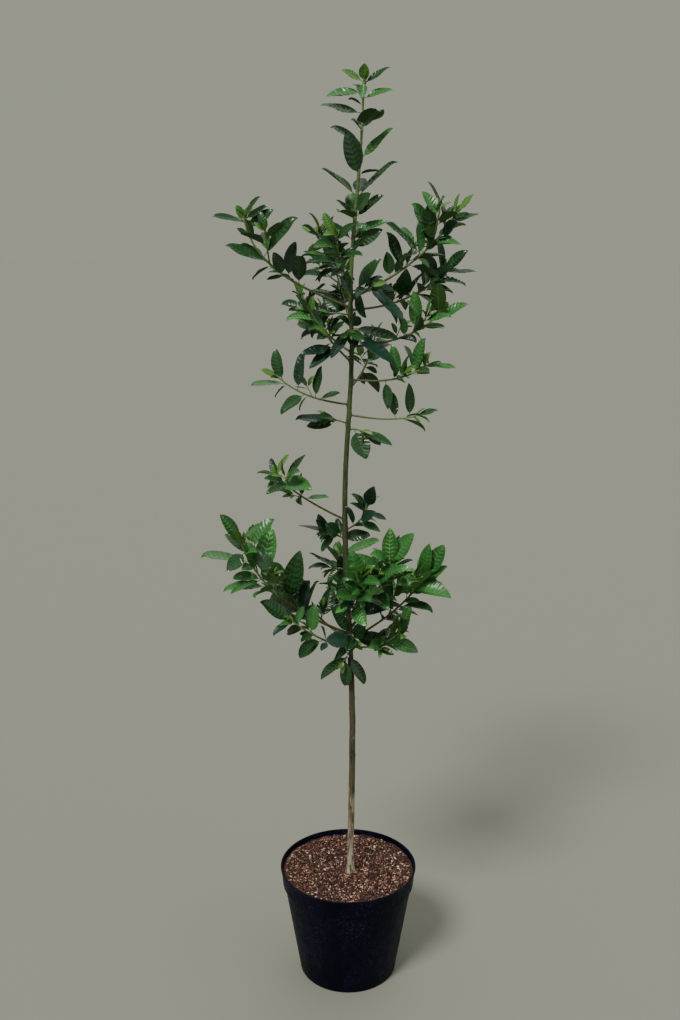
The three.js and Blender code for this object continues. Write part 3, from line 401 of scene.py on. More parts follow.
def shoot_path(shoot):
    """The middle line of a shoot: it leaves the trunk's axis, and its rise grows towards the
    tip as the bow's power of the share."""
    share = (np.arange(LIMB.steps) + 0.5) / LIMB.steps
    rise = lerp(shoot.rise, shoot.tip_rise, share**shoot.bow)
    steps = direction(shoot.heading + shoot.turn * share, rise) * shoot.length / LIMB.steps
    root = trunk_axis(shoot.z)[None]
    return np.vstack([root, root + np.cumsum(steps, axis=0)])


def on_path(path, share):
    """The point and the direction at a share of a path of even steps."""
    place = min(max(share, 0), 1) * (len(path) - 1)
    k = min(int(place), len(path) - 2)
    step = path[k + 1] - path[k]
    return path[k] + step * (place - k), unit(step)


# ---------------------------------------------------------------- leaves

@dataclass
class Leaf:
    """A leaf: its root on a limb, the ways it points and faces, its size, and how it bends away
    from its face, hooks at its tip and folds up from its midrib."""

    root: np.ndarray
    along: np.ndarray
    face: np.ndarray
    length: float
    width: float
    bend: float
    hook: float
    fold: float
    carrier: Limb
    at: float
    kind: str = "old"


def stacked(leaves):
    """The leaves' values as arrays, one row for each leaf."""
    names = ("root", "along", "face", "length", "width", "bend", "hook", "fold")
    return Sizes(**{name: np.array([getattr(leaf, name) for leaf in leaves]) for name in names})


def leaf_lines(leaves, shares):
    """The middle line of leaves at shares of their length, with its direction, the way across
    and the way up. A leaf turns away from its face by its bend times the share, plus its hook
    times the square of how far the share is past hook_from, summed over even steps."""
    middle = (np.arange(LEAF.steps) + 0.5) / LEAF.steps
    hooked = np.maximum((middle - LEAF.hook_from) / (1 - LEAF.hook_from), 0)
    turned = leaves.bend[:, None] * middle + leaves.hook[:, None] * hooked**2
    turned = np.radians(turned)[..., None]
    tangents = np.cos(turned) * leaves.along[:, None] - np.sin(turned) * leaves.face[:, None]
    reach = np.cumsum(tangents, axis=1) * (leaves.length / LEAF.steps)[:, None, None]
    points = leaves.root[:, None] + np.concatenate([np.zeros_like(reach[:, :1]), reach], axis=1)
    place = np.asarray(shares) * LEAF.steps
    k = np.minimum(place.astype(int), LEAF.steps - 1)
    centre = lerp(points[:, k], points[:, k + 1], (place - k)[:, None])
    side = unit(np.cross(leaves.face, leaves.along))[:, None]
    upper = unit(np.cross(tangents[:, k], side))
    return centre, tangents[:, k], side, upper


def blade_half(leaves, shares):
    """Half the blade's width: 4 times the blade's share times what is left of it, to a power."""
    blade = np.maximum((np.asarray(shares) - LEAF.stalk) / (1 - LEAF.stalk), 0)
    return (leaves.width / 2)[:, None] * (4 * blade * (1 - blade)) ** LEAF.outline_power


def leaf_samples(leaf):
    """Points spread over a blade, which stand for it where clearances are measured."""
    leaves = stacked([leaf])
    centre, _, side, upper = leaf_lines(leaves, SAMPLE.shares)
    half = blade_half(leaves, SAMPLE.shares)[0]
    wide = half >= SAMPLE.wider_than
    half = (half[wide] * SAMPLE.edge)[:, None]
    lift = upper[0][wide] * half * sin(radians(leaf.fold))
    reach = side[0] * half * cos(radians(leaf.fold))
    middle = centre[0][wide] + lift
    return np.vstack([centre[0], middle + reach, middle - reach])


# ---------------------------------------------------------------- room to grow

class Room:
    """All limbs and the points of all leaves so far, as arrays that distances are taken to."""

    def __init__(self, limbs):
        self.limbs = list(limbs)
        self.count = 0
        self.points = np.empty((MOST_POINTS, 3))
        self.roots = np.empty((MOST_POINTS, 3))
        self.masses = np.empty(MOST_POINTS, int)
        self.stack_limbs()

    def stack_limbs(self):
        steps = [np.diff(limb.path, axis=0) for limb in self.limbs]
        self.first = np.cumsum([0] + [len(step) for step in steps[:-1]])
        self.starts = np.vstack([limb.path[:-1] for limb in self.limbs])
        self.steps = np.vstack(steps)
        self.lengths = np.einsum("ij,ij->i", self.steps, self.steps)
        middles = [(np.arange(len(step)) + 0.5) / (len(step) + 1) for step in steps]
        self.radii = np.concatenate(
            [limb.radius_at(share) for limb, share in zip(self.limbs, middles)])

    def add_limbs(self, limbs):
        self.limbs.extend(limbs)
        self.stack_limbs()

    def gaps(self, points):
        """For each limb, the least distance from its skin to any of the points. The nearest
        place on a step of its path is the point's foot on it, held between its ends."""
        offsets = points[:, None] - self.starts
        share = np.clip(np.einsum("pij,ij->pi", offsets, self.steps) / self.lengths, 0, 1)
        offsets -= share[..., None] * self.steps
        distance = np.sqrt(np.einsum("pij,pij->pi", offsets, offsets)) - self.radii
        return np.minimum.reduceat(distance.min(axis=0), self.first)

    def takes(self, samples, root, mass, carrier, keep):
        """Does a leaf keep its distances to every limb and to every leaf placed so far?"""
        kept = np.array([
            -np.inf if limb is carrier else keep.own_limb if limb in mass.limbs else keep.limb
            for limb in self.limbs])
        if (self.gaps(samples) < kept).any():
            return False
        near = np.linalg.norm(self.roots[:self.count] - root, axis=1) <= keep.far_roots
        others = self.points[:self.count][near]
        if not len(others):
            return True
        squares = ((samples[:, None] - others) ** 2).sum(axis=-1).min(axis=0)
        own = self.masses[:self.count][near] == mass.number
        return not (squares < np.where(own, keep.own, keep.others) ** 2).any()

    def add(self, samples, root, mass):
        new = slice(self.count, self.count + len(samples))
        self.points[new] = samples
        self.roots[new] = root
        self.masses[new] = mass.number
        self.count += len(samples)


# ---------------------------------------------------------------- growth rule

@dataclass(eq=False)
class Mass:
    """The foliage of one shoot, or of the leader: its limbs, stem first, and its leaves."""

    number: int
    name: str
    shoot: Shoot
    limbs: list
    leaves: list = field(default_factory=list)


def side_twigs(shoot, stem, room):
    """Side twigs of a shoot, to its left and right in turn and rising at their ends. One that
    comes near another limb is skipped."""
    twigs = []
    for q in range(shoot.twigs):
        draw = draws(shoot.seed * SEED.shoot + SEED.twig_path + q, 2)
        share = lerp(shoot.bare, TWIG.last_at, (q + TWIG.in_step) / shoot.twigs)
        length = shoot.length * within(TWIG.length, draw[0])
        turn = TWIG.turns[(q + shoot.seed) % 2] + spread_by(TWIG.turn_spread, draw[1])
        path = twig_path(stem, share, length, turn, TWIG.spread, TWIG.steps)
        kept = np.array([-np.inf if limb is stem else KEEP.twig for limb in room.limbs])
        if (room.gaps(path[2:]) > kept).all():
            stem.nodes.append(share)
            twigs.append(tapered(path, length, TWIG.root_radius, TWIG.tip_radius))
    return twigs


def twig_path(stem, share, length, turn, spread, steps):
    """The middle line of a twig: it is spread away from its stem, and each even step of it is
    lifted a little more than the last."""
    root, along = on_path(stem.path, share)
    lifts = UP * (TWIG.lift * np.arange(steps))[:, None]
    way = unit(spread_from(along, turn, spread) + lifts) * length / steps
    return np.vstack([root, root + np.cumsum(way, axis=0)])


def swing_of(attempt, swing):
    """The turn by which an attempt departs from the first: to one side and the other in turn."""
    return ceil(attempt / 2) * swing * (1 if attempt % 2 else -1)


def rule_leaf(shoot, limb, start, k, count, seed, attempt):
    """Leaf k of a limb by the rule. An attempt turns it round the limb until it finds room."""
    draw = draws(seed, 8)
    share = (k + 0.5) / count
    at = lerp(start, 1, 1 - (1 - share) ** RULE.crowding)
    root, stem_along = on_path(limb.path, at)
    golden = shoot.seed * RULE.shoot_turn + k * RULE.golden_turn
    turn = golden + spread_by(RULE.turn_spread, draw[0]) + swing_of(attempt, RULE.swing)
    spread = lerp(RULE.spread_root, RULE.spread_tip, share)
    spread += spread_by(RULE.spread_spread, draw[1])
    along = spread_from(stem_along, turn, spread)
    along = unit(along + UP * shoot.stand * (1 - RULE.stand_fade * share))
    lean = direction(RULE.lean_heading + spread_by(RULE.lean_spread, draw[7]), 0)
    scale = RULE.young_scale if share > RULE.young_from else 1
    length = shoot.leaf * scale * within(RULE.length, draw[2])
    return Leaf(
        root=root, along=along, length=length, carrier=limb, at=at,
        face=face_of(along, (stem_along, RULE.face_along), (lean, RULE.lean)),
        width=length * (shoot.broad + spread_by(RULE.broad_spread, draw[3])),
        bend=within(RULE.bend, draw[4]), hook=within(RULE.hook, draw[5]),
        fold=within(RULE.fold, draw[6]))


def own_leaf(limb, root, at, sizes, seed, attempt):
    """A leaf that stands out, by its own sizes. An attempt turns its heading a little."""
    heading, rise, length, width, front = sizes
    draw = draws(seed, 3)
    swing = swing_of(attempt, OWN_RULE.swing)
    along = direction(heading + swing, rise + swing / 2)
    return Leaf(
        root=root, along=along, face=face_of(along, (FRONT, front)), carrier=limb, at=at,
        length=length, width=width, bend=within(OWN_RULE.bend, draw[0]),
        hook=within(OWN_RULE.hook, draw[1]), fold=within(OWN_RULE.fold, draw[2]))


def place(leaf_at, mass, room, keep=KEEP, reach=None):
    """Tries a leaf in a few directions, and keeps it where it first has room, and lies within
    the reach of its mass."""
    for attempt in range(TRIES):
        leaf = leaf_at(attempt)
        samples = leaf_samples(leaf)
        if reach is not None and ((samples < reach[0]) | (samples > reach[1])).any():
            continue
        if not room.takes(samples, leaf.root, mass, leaf.carrier, keep):
            continue
        room.add(samples, leaf.root, mass)
        mass.leaves.append(leaf)
        leaf.carrier.nodes.append(leaf.at)
        return


def grow_leaves(mass, carrier, start, count, seed, room):
    for k in range(count):
        place(lambda attempt: rule_leaf(mass.shoot, carrier, start, k, count, seed + k, attempt),
              mass, room)


def first_leaf_at(shoot):
    return shoot.bare + RULE.after_bare if shoot.bare > 0 else RULE.from_trunk


def grow_plant():
    """The plant above the compost by the rule: every limb first, then every leaf."""
    leader = stretch_of_trunk(TRUNK.tip, LEADER.tip, LEADER.path_steps)
    trunk = stretch_of_trunk(SOIL.top, TRUNK.tip, TRUNK.path_steps)
    masses = []
    for number, shoot in enumerate(SHOOTS):
        root_radius = LIMB.base_radius + LIMB.radius_per_length * shoot.length
        stem = tapered(shoot_path(shoot), shoot.length, root_radius, LIMB.tip_radius)
        masses.append(Mass(number, shoot.name, shoot, [stem]))
    room = Room([trunk, leader] + [mass.limbs[0] for mass in masses])
    for mass in masses:
        twigs = side_twigs(mass.shoot, mass.limbs[0], room)
        mass.limbs.extend(twigs)
        room.add_limbs(twigs)

    top = Mass(len(masses), "leader", None, [leader])
    for k, (height, *sizes) in enumerate(LEADER_LEAVES):
        root = trunk_axis(height)
        at = (height - TRUNK.tip) / leader.length
        place(lambda attempt: own_leaf(leader, root, at, sizes, SEED.leader + k, attempt),
              top, room)
    for mass in masses:
        stem = mass.limbs[0]
        for k, (share, *sizes) in enumerate(mass.shoot.own):
            root, _ = on_path(stem.path, share)
            seed = mass.shoot.seed * SEED.shoot + SEED.own + k
            place(lambda attempt: own_leaf(stem, root, share, sizes, seed, attempt), mass, room)
    for mass in masses:
        shoot = mass.shoot
        seed = shoot.seed * SEED.shoot
        stem, *twigs = mass.limbs
        grow_leaves(mass, stem, first_leaf_at(shoot), shoot.leaves, seed, room)
        for q, twig in enumerate(twigs):
            twig_seed = seed + SEED.twig_leaves + SEED.next_twig * q
            grow_leaves(mass, twig, RULE.from_twig_root, TWIG.leaves, twig_seed, room)
    return masses, top, room


# ---------------------------------------------------------------- finer growth

def fine_leaf(limb, at, length, broad, turn, spread, rng):
    """A smaller leaf that stands off its limb by a spread, at a turn round it."""
    root, stem_along = on_path(limb.path, at)
    along = spread_from(stem_along, turn, spread)
    lean = direction(RULE.lean_heading + rng.uniform(-FINE.lean_turn, FINE.lean_turn), 0)
    return Leaf(
        root=root, along=along, length=length, width=length * broad, carrier=limb, at=at,
        face=face_of(along, (stem_along, RULE.face_along), (lean, RULE.lean)),
        bend=rng.uniform(*RULE.bend), hook=rng.uniform(*RULE.hook),
        fold=rng.uniform(*RULE.fold))


def grow_fill(mass, room, rng, reach):
    """Smaller leaves between those of the rule, in proportion to them."""
    stem = mass.limbs[0]
    start = first_leaf_at(mass.shoot) if mass.shoot else LEADER.first_leaf
    sizes = mass.shoot or LEADER
    count = round(sizes.leaves * FINE.fill_share)
    for k in range(count):
        at = lerp(start, FINE.fill_to, (k + rng.uniform(*FINE.fill_step)) / count)
        length = sizes.leaf * rng.uniform(*FINE.fill_scale)
        turn = rng.uniform(0, 360)
        spread = rng.uniform(*FINE.fill_spread)
        place(lambda attempt: fine_leaf(
            stem, at, length, sizes.broad, turn + swing_of(attempt, FINE.swing), spread, rng),
            mass, room, FINE.keep, reach)


def grow_twiglets(mass, room, rng):
    """Short thin twigs, every twiglet_step along the outer part of the stem."""
    stem = mass.limbs[0]
    found = []
    for k in range(int(stem.length * (1 - mass.shoot.bare) / FINE.twiglet_step)):
        first, last = FINE.twiglet_at
        along = (k + rng.uniform(*FINE.twiglet_jitter)) / (stem.length / FINE.twiglet_step)
        at = lerp(max(mass.shoot.bare, first), last, along)
        length = rng.uniform(*FINE.twiglet_length)
        path = twig_path(stem, at, length, rng.uniform(*FINE.twiglet_turn),
                         rng.uniform(*FINE.twiglet_spread), FINE.twiglet_steps)
        kept = np.array([-np.inf if limb is stem else KEEP.twig for limb in room.limbs])
        if (room.gaps(path[2:]) > kept).all():
            stem.nodes.append(at)
            found.append(tapered(path, length, FINE.twiglet_radius, FINE.twiglet_tip))
    mass.limbs.extend(found)
    room.add_limbs(found)
    return found


def grow_tuft(mass, limb, room, rng, reach):
    """Young leaves round a limb's tip, in even parts of a turn and a step further in each."""
    start = rng.uniform(0, 360)
    for k in range(FINE.tuft_leaves):
        length = rng.uniform(*FINE.tuft_leaf)
        spread = rng.uniform(*FINE.tuft_spread)
        turn = start + k * 360 / FINE.tuft_leaves
        at = 1 - FINE.tuft_step * k
        count = len(mass.leaves)
        place(lambda attempt: fine_leaf(
            limb, at, length, FINE.tuft_broad, turn + swing_of(attempt, FINE.tuft_swing),
            spread, rng), mass, room, FINE.tuft_keep, reach)
        for leaf in mass.leaves[count:]:
            leaf.kind = "young"


def grow_finer(masses, top, room):
    """Carries the growth on within the same reach, mass by mass, from one seeded stream."""
    rng = np.random.default_rng(STREAM.finer)
    for mass in [*masses, top]:
        lowest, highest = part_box("leaves_" + mass.name)
        reach = np.array(lowest) / MM, np.array(highest) / MM
        for limb in mass.limbs:
            grow_tuft(mass, limb, room, rng, reach)
        grow_fill(mass, room, rng, reach)
        if mass is top:
            continue
        for twiglet in grow_twiglets(mass, room, rng):
            for k in range(FINE.twiglet_leaves):
                at = lerp(*FINE.twiglet_leaves_at, k / max(FINE.twiglet_leaves - 1, 1))
                length = rng.uniform(*FINE.twiglet_leaf)
                turn = rng.uniform(0, 360)
                place(lambda attempt: fine_leaf(
                    twiglet, at, length, mass.shoot.broad, turn + swing_of(attempt, FINE.swing),
                    FINE.twiglet_leaf_spread, rng), mass, room, FINE.keep, reach)
            grow_tuft(mass, twiglet, room, rng, reach)


# ---------------------------------------------------------------- meshes from arrays

def put_mesh(name, points, faces, slots, materials, sharp=None):
    """Puts arrays into a new mesh object. Points are in millimetres; faces is a list of arrays,
    one row of corners for each face, and slots a like list of each face's material number."""
    mesh = bpy.data.meshes.new(name)
    corners = np.concatenate([rows.ravel() for rows in faces])
    sizes = np.concatenate([np.full(len(rows), rows.shape[1]) for rows in faces])
    mesh.vertices.add(len(points))
    mesh.vertices.foreach_set("co", (points * MM).astype(np.float32).ravel())
    mesh.loops.add(len(corners))
    mesh.loops.foreach_set("vertex_index", corners.astype(np.int32))
    mesh.polygons.add(len(sizes))
    mesh.polygons.foreach_set("loop_start", (np.cumsum(sizes) - sizes).astype(np.int32))
    mesh.polygons.foreach_set("material_index", np.concatenate(slots).astype(np.int32))
    for material in materials:
        mesh.materials.append(material)
    mesh.update(calc_edges=True)
    mesh.validate()
    mesh.polygons.foreach_set("use_smooth", np.ones(len(sizes), bool))
    if sharp:
        mesh.set_sharp_from_angle(angle=radians(sharp))
    piece = bpy.data.objects.new(name, mesh)
    bpy.context.scene.collection.objects.link(piece)
    return piece


def joined(parts):
    """Several (points, faces, slots) bodies as one, each body's corners moved on past the
    points of the bodies before it."""
    points, faces, slots, count = [], [], [], 0
    for part_points, part_faces, part_slots in parts:
        points.append(part_points)
        faces.extend(rows + count for rows in part_faces)
        slots.extend(part_slots)
        count += len(part_points)
    return np.vstack(points), faces, slots


def ring_bands(rings, sides):
    """The corners of the four-sided faces between rings of points that run left about the way
    they go."""
    ring, side = np.meshgrid(np.arange(rings - 1), np.arange(sides), indexing="ij")
    here = ring * sides + side
    beside = ring * sides + (side + 1) % sides
    return np.stack([here, beside, beside + sides, here + sides], axis=-1).reshape(-1, 4)


def body_of_rings(rings, slot_of_band, foot_slot=None, tip_slot=None):
    """A closed body through rings of points, with a flat cap on each end. rings is an array of
    rings, points round each, and slot_of_band gives each band's material number."""
    count, sides, _ = rings.shape
    bands = ring_bands(count, sides)
    caps = np.stack([np.arange(sides)[::-1], np.arange(sides) + (count - 1) * sides])
    band_slots = np.repeat(slot_of_band, sides)
    cap_slots = np.array([
        slot_of_band[0] if foot_slot is None else foot_slot,
        slot_of_band[-1] if tip_slot is None else tip_slot])
    return rings.reshape(-1, 3), [bands, caps], [band_slots, cap_slots]


STEEP = 0.97  # past this rise of its direction, a path counts as steep


def rings_along(centres, radii, sides):
    """Rings of points across a path. The first way across is level, or square to the front on a
    steep path, and radii is a number for each ring or one for each point of it."""
    along = unit(np.gradient(centres, axis=0))
    steep = np.abs(along[:, 2]).max() > STEEP
    left = unit(np.cross(FRONT if steep else UP, along))
    above = np.cross(along, left)
    turn = 2 * pi * np.arange(sides) / sides
    radii = np.broadcast_to(np.asarray(radii).reshape(len(centres), -1), (len(centres), sides))
    across = np.cos(turn)[:, None] * left[:, None] + np.sin(turn)[:, None] * above[:, None]
    return centres[:, None] + radii[..., None] * across


def resampled(path, shares):
    """Points at shares of a path, on smooth curves through its own points: each is a cubic
    whose slopes are those between the path's neighbouring points."""
    place = np.clip(shares, 0, 1) * (len(path) - 1)
    k = np.minimum(place.astype(int), len(path) - 2)
    part = (place - k)[:, None]
    slopes = np.gradient(path, axis=0)
    start, end = path[k], path[k + 1]
    curve = slopes[k] * part * (1 - part) ** 2 - slopes[k + 1] * part**2 * (1 - part)
    return lerp(start, end, part**2 * (3 - 2 * part)) + curve


# ---------------------------------------------------------------- leaf meshes

# How far across each point of a ring is, first over its upper side and then back under it.
# The innermost points, at RIB, stand at the midrib's own width instead
RIB = 0.05
OVER = np.array([-1, -0.6, -RIB, RIB, 0.6, 1])
UNDER = np.array([0.6, RIB, -RIB, -0.6])
BLADE = Sizes(
    rise=0.62, fall=0.8, sweep=0.6, twist=18, roll=0.3, thick=0.4, full_half=12,
    stalk_at=(0, 0.07, 0.13), foot_half=1.15, stalk_half=0.72, stalk_deep=1.0, crown=0.35,
    first=0.03, last=0.965, vein_from=0.085, vein_to=0.93, vein=0.04, many_veins=7, few_veins=4,
    small_leaf=36, full_size=60, rib_half=(0.5, 0.26), rib_most=0.35, rib_under=1.5,
    rib_deep=0.7, rib_thick=0.25, groove=0.5, quilt=1.5, quilted=(0.5, 1.15),
    uneven=(0.35, 1.25), wave=0.22, wave_draw=(0.4, 1.2), skew=0.3, slow_wave=1.5,
    slow_turns=(0.5, 1.4), spiny_wave=1.1, spine_out=1.3, spine_on=0.9, spine_full=5,
)
# The share of a look's leaves that have spines
SPINY = {"old": 0.04, "waxy": 0.02, "green": 0.09, "fresh": 0.07, "young": 0.35}


def blade_profile(share):
    """The blade's width at a share of it, 1 where it is widest: it rises as one power of the
    share and falls to a drawn-out tip as another power of what is left."""
    peak = BLADE.rise / (BLADE.rise + BLADE.fall)
    most = peak**BLADE.rise * (1 - peak) ** BLADE.fall
    share = np.clip(share, 0, 1)
    return share**BLADE.rise * (1 - share) ** BLADE.fall / most


def ring_plan(veins):
    """Where a leaf's rings lie, as shares of its blade: three on the stalk, then two at each
    vein and one between it and the next. at is their shares of the whole leaf, quilt is -1 at a
    vein and 1 between two, and vein marks the bands that are veins."""
    step = (BLADE.vein_to - BLADE.vein_from) / veins
    starts = BLADE.vein_from + step * np.arange(veins)
    ends = starts + BLADE.vein
    rows = np.stack([starts, ends, (ends + starts + step) / 2], axis=-1).ravel()
    blade = np.concatenate([[BLADE.first], rows, [BLADE.last]])
    stalk = len(BLADE.stalk_at)
    return Sizes(
        stalk=stalk, blade=np.concatenate([np.zeros(stalk), blade]),
        at=np.concatenate([BLADE.stalk_at, lerp(LEAF.stalk, 1, blade)]),
        quilt=np.concatenate([np.zeros(stalk + 1), np.tile([-1.0, -1.0, 1.0], veins), [0.0]]),
        vein=np.concatenate([
            np.zeros(stalk + 1, bool), np.tile([True, False, False], veins)]))


def leaf_points(leaves, plan, spiny, rng):
    """Rings of points for every leaf at once, then its tip. A point stands off the middle line
    sideways by its share across times the half width, and up by the fold, more in between than
    at the edge. Rings sweep forward as veins do, and the blade is quilted: low at each vein and
    high between. The midrib is sunk above and stands out below. Each edge rises and falls in a
    slow sine wave of its own and a little with the veins, and on a spiny leaf it juts out and
    forward at every vein's end."""
    count, rings = len(leaves.length), len(plan.at)
    across = np.concatenate([OVER, UNDER])
    under = np.arange(len(across)) >= len(OVER)
    edge = np.abs(across) == 1
    rib = np.abs(across) == RIB
    between = ~edge & ~rib
    centre, tangent, side, upper = leaf_lines(leaves, np.append(plan.at, 1.0))
    tips = centre[:, -1]
    centre, tangent, upper = centre[:, :-1], tangent[:, :-1], upper[:, :-1]

    stalk = np.arange(rings) < plan.stalk
    size = np.minimum(leaves.length / BLADE.full_size, 1)[:, None]
    blade_length = leaves.length[:, None] * (1 - LEAF.stalk)
    widest = leaves.width[:, None] / 2
    forward = BLADE.sweep * widest * blade_profile(plan.blade) * ~stalk
    half = widest * blade_profile(plan.blade + forward / blade_length) * ~stalk
    stalk_half = np.interp(plan.at, [0, BLADE.stalk_at[1]], [BLADE.foot_half, BLADE.stalk_half])
    half = np.maximum(half, stalk_half * size * stalk)
    thin = np.minimum(half / BLADE.full_half, 1) * ~stalk
    rib_half = np.minimum(lerp(*BLADE.rib_half, plan.blade) * size, half * BLADE.rib_most)[..., None]
    rib_half = rib_half * np.where(under, BLADE.rib_under, 1)

    flip = rng.choice([-1.0, 1.0], (count, 1))
    spiny = (rng.random(count) < spiny)[:, None]
    spines = spiny * (plan.quilt < 0) * size * np.minimum(half / BLADE.spine_full, 1)
    wave = np.where(spiny, BLADE.spiny_wave, BLADE.wave) * plan.quilt * -thin
    wave = wave * rng.uniform(*BLADE.wave_draw, wave.shape)
    turns = rng.uniform(*BLADE.slow_turns, (count, 1, 2))
    slow = np.sin(2 * pi * (turns * plan.blade[:, None] + rng.random((count, 1, 2))))
    slow = slow * (BLADE.slow_wave * thin)[..., None]

    fold = np.radians(leaves.fold)[:, None, None]
    out = across * half[..., None] * np.cos(fold)
    out = np.where(rib, np.sign(across) * rib_half, out)
    out = out + np.sign(across) * edge * (spines * BLADE.spine_out)[..., None]
    rise = np.abs(across) * (1 + BLADE.roll * (1 - np.abs(across))) * ~rib
    lift = rise * half[..., None] * np.sin(fold)
    lift = np.where(stalk[:, None], BLADE.crown * (1 - across**2), lift)
    skew = 1 + BLADE.skew * np.sign(across) * flip[..., None]
    lift = lift + edge * wave[..., None] * skew
    lift = lift + np.abs(across) ** 2 * ~rib * np.where(across < 0, slow[..., :1], slow[..., 1:])
    quilt = plan.quilt * thin * BLADE.quilt * rng.uniform(*BLADE.quilted, (count, 1))
    quilt = quilt[..., None] * rng.uniform(*BLADE.uneven, (count, rings, 2))
    lift = lift + between * np.where(across < 0, quilt[..., :1], quilt[..., 1:])
    lift = lift - rib * (BLADE.groove * thin)[..., None]
    deep = np.where(rib, BLADE.rib_deep * thin[..., None] + BLADE.rib_thick, BLADE.thick)
    deep = np.where(stalk[:, None], BLADE.stalk_deep, deep) * size[..., None]
    lift = lift - under * deep
    on = np.abs(across) * ~rib * forward[..., None]
    on = on + edge * (spines * BLADE.spine_on)[..., None]

    twist = np.radians(rng.uniform(-BLADE.twist, BLADE.twist, (count, 1, 1))) * plan.at[:, None]
    side_way = np.cos(twist) * side + np.sin(twist) * upper
    upper_way = np.cos(twist) * upper - np.sin(twist) * side
    points = (centre[:, :, None] + tangent[:, :, None] * on[..., None]
              + side_way[:, :, None] * out[..., None] + upper_way[:, :, None] * lift[..., None])
    return np.concatenate([points.reshape(count, -1, 3), tips[:, None]], axis=1)


# Materials of a leaf piece: three tints of the upper side, then these
UPPER_SHARES = [0.45, 0.35, 0.2]
UNDERSIDE, MIDRIB, VEIN, STALK = 3, 4, 5, 6


def leaf_faces(plan):
    """The faces of one leaf, and each one's material; the upper blade has 0."""
    rings, sides = len(plan.at), len(OVER) + len(UNDER)
    bands = ring_bands(rings, sides)[:, ::-1]
    foot = np.arange(sides)[None]
    last = (rings - 1) * sides + np.arange(sides)
    beside = (rings - 1) * sides + (np.arange(sides) + 1) % sides
    apex = np.full(sides, rings * sides)
    column = np.array([0, 0, MIDRIB, 0, 0, UNDERSIDE, UNDERSIDE, MIDRIB, UNDERSIDE, UNDERSIDE])
    slots = np.tile(column, (rings - 1, 1))
    slots[np.ix_(plan.vein, [1, 3])] = VEIN
    slots[:plan.stalk - 1] = STALK
    tips = np.stack([beside, last, apex], axis=-1)
    return [bands, tips, foot], [slots.ravel(), column, np.array([STALK])]


def leaf_body(leaves, veins, spiny, rng):
    """All leaves of a list as one body. Each leaf's upper side takes one of three tints."""
    plan = ring_plan(veins)
    points = leaf_points(stacked(leaves), plan, spiny, rng)
    count, each, _ = points.shape
    faces, slots = leaf_faces(plan)
    moved = np.arange(count)[:, None, None] * each
    tint = rng.choice(len(UPPER_SHARES), count, p=UPPER_SHARES)[:, None]
    all_faces = [(rows[None] + moved).reshape(-1, rows.shape[1]) for rows in faces]
    return points.reshape(-1, 3), all_faces, [
        np.where(slot == 0, tint, slot).ravel() for slot in slots]


# ---------------------------------------------------------------- limb meshes

SHOOT_BARK = Sizes(
    ring_step=1.7, sides=10, node_swell=0.2, node_reach=2.2, grain=0.05, wrinkles=(7, 4, 0.9),
    bud_left=(0, 1, 2.6, 5), bud_girth=(0.12, 0.75, 1.25, 1), fewest=4, nowhere=-9.0,
)


def wrinkles(along, turn, rng, count, most_across, most_along):
    """A sum of waves over a skin: each runs round it a whole number of times and along it at a
    rate of its own. The sum stays near -1 to 1."""
    total = np.zeros(np.broadcast(along, turn).shape)
    for _ in range(count):
        round_it = rng.integers(0, most_across + 1)
        rate = rng.uniform(-most_along, most_along)
        total += np.cos(round_it * turn + rate * along + rng.uniform(0, 2 * pi))
    return total / np.sqrt(count)


def limb_body(limb, start, end, rng, slot_at, bud):
    """A limb's stretch as a closed body with its bark's relief: it swells at each leaf's and
    twig's place by a bell curve, and its skin has fine wrinkles. With a bud, its last rings
    swell and then close to a point."""
    count = max(int((end - start) * limb.length / SHOOT_BARK.ring_step), SHOOT_BARK.fewest)
    shares = np.linspace(start, end, count)
    centres = resampled(limb.path, shares)
    radii = np.array([limb.radius_at(share) for share in shares])
    off = (shares[:, None] - np.array(limb.nodes or [SHOOT_BARK.nowhere])) * limb.length
    swell = np.exp(-(off / SHOOT_BARK.node_reach) ** 2).max(axis=1)
    turn = 2 * pi * np.arange(SHOOT_BARK.sides) / SHOOT_BARK.sides
    skin = wrinkles((shares * limb.length)[:, None], turn, rng, *SHOOT_BARK.wrinkles)
    radii = (radii * (1 + SHOOT_BARK.node_swell * swell))[:, None]
    radii = radii * (1 + SHOOT_BARK.grain * skin)
    if bud:
        left = (1 - shares) * limb.length
        girth = np.interp(left, SHOOT_BARK.bud_left, SHOOT_BARK.bud_girth)
        radii = radii * girth[:, None]
    rings = rings_along(centres, radii, SHOOT_BARK.sides)
    middles = (shares[1:] + shares[:-1]) / 2
    return body_of_rings(rings, slot_at(middles))


BARK = Sizes(
    collar=2.2, collar_reach=5.5, collar_turn=0.75, scar_step=27, scar=0.75, scar_reach=1.9,
    scar_turn=0.9, fissure=0.2, grain=0.16, foot_fold=0.5, foot_reach=14, bake_columns=5,
    steepest=60, collar_out=0.8, collar_size=1.2, scar_first=46, scar_last=20, scar_jitter=7,
    scar_swing=20, dent=0.5, dent_above=2.6, dent_reach=1.2, dent_turn=0.35,
    smooth_above=1050, smooth_over=600, smoothest=0.25,
)
# Waves of the bark, as their count, the most of them round the trunk, and the most along it
WAVES = Sizes(fissure=(16, 11, 0.09), grain=(14, 7, 1.1), fold=(5, 5, 0.12))


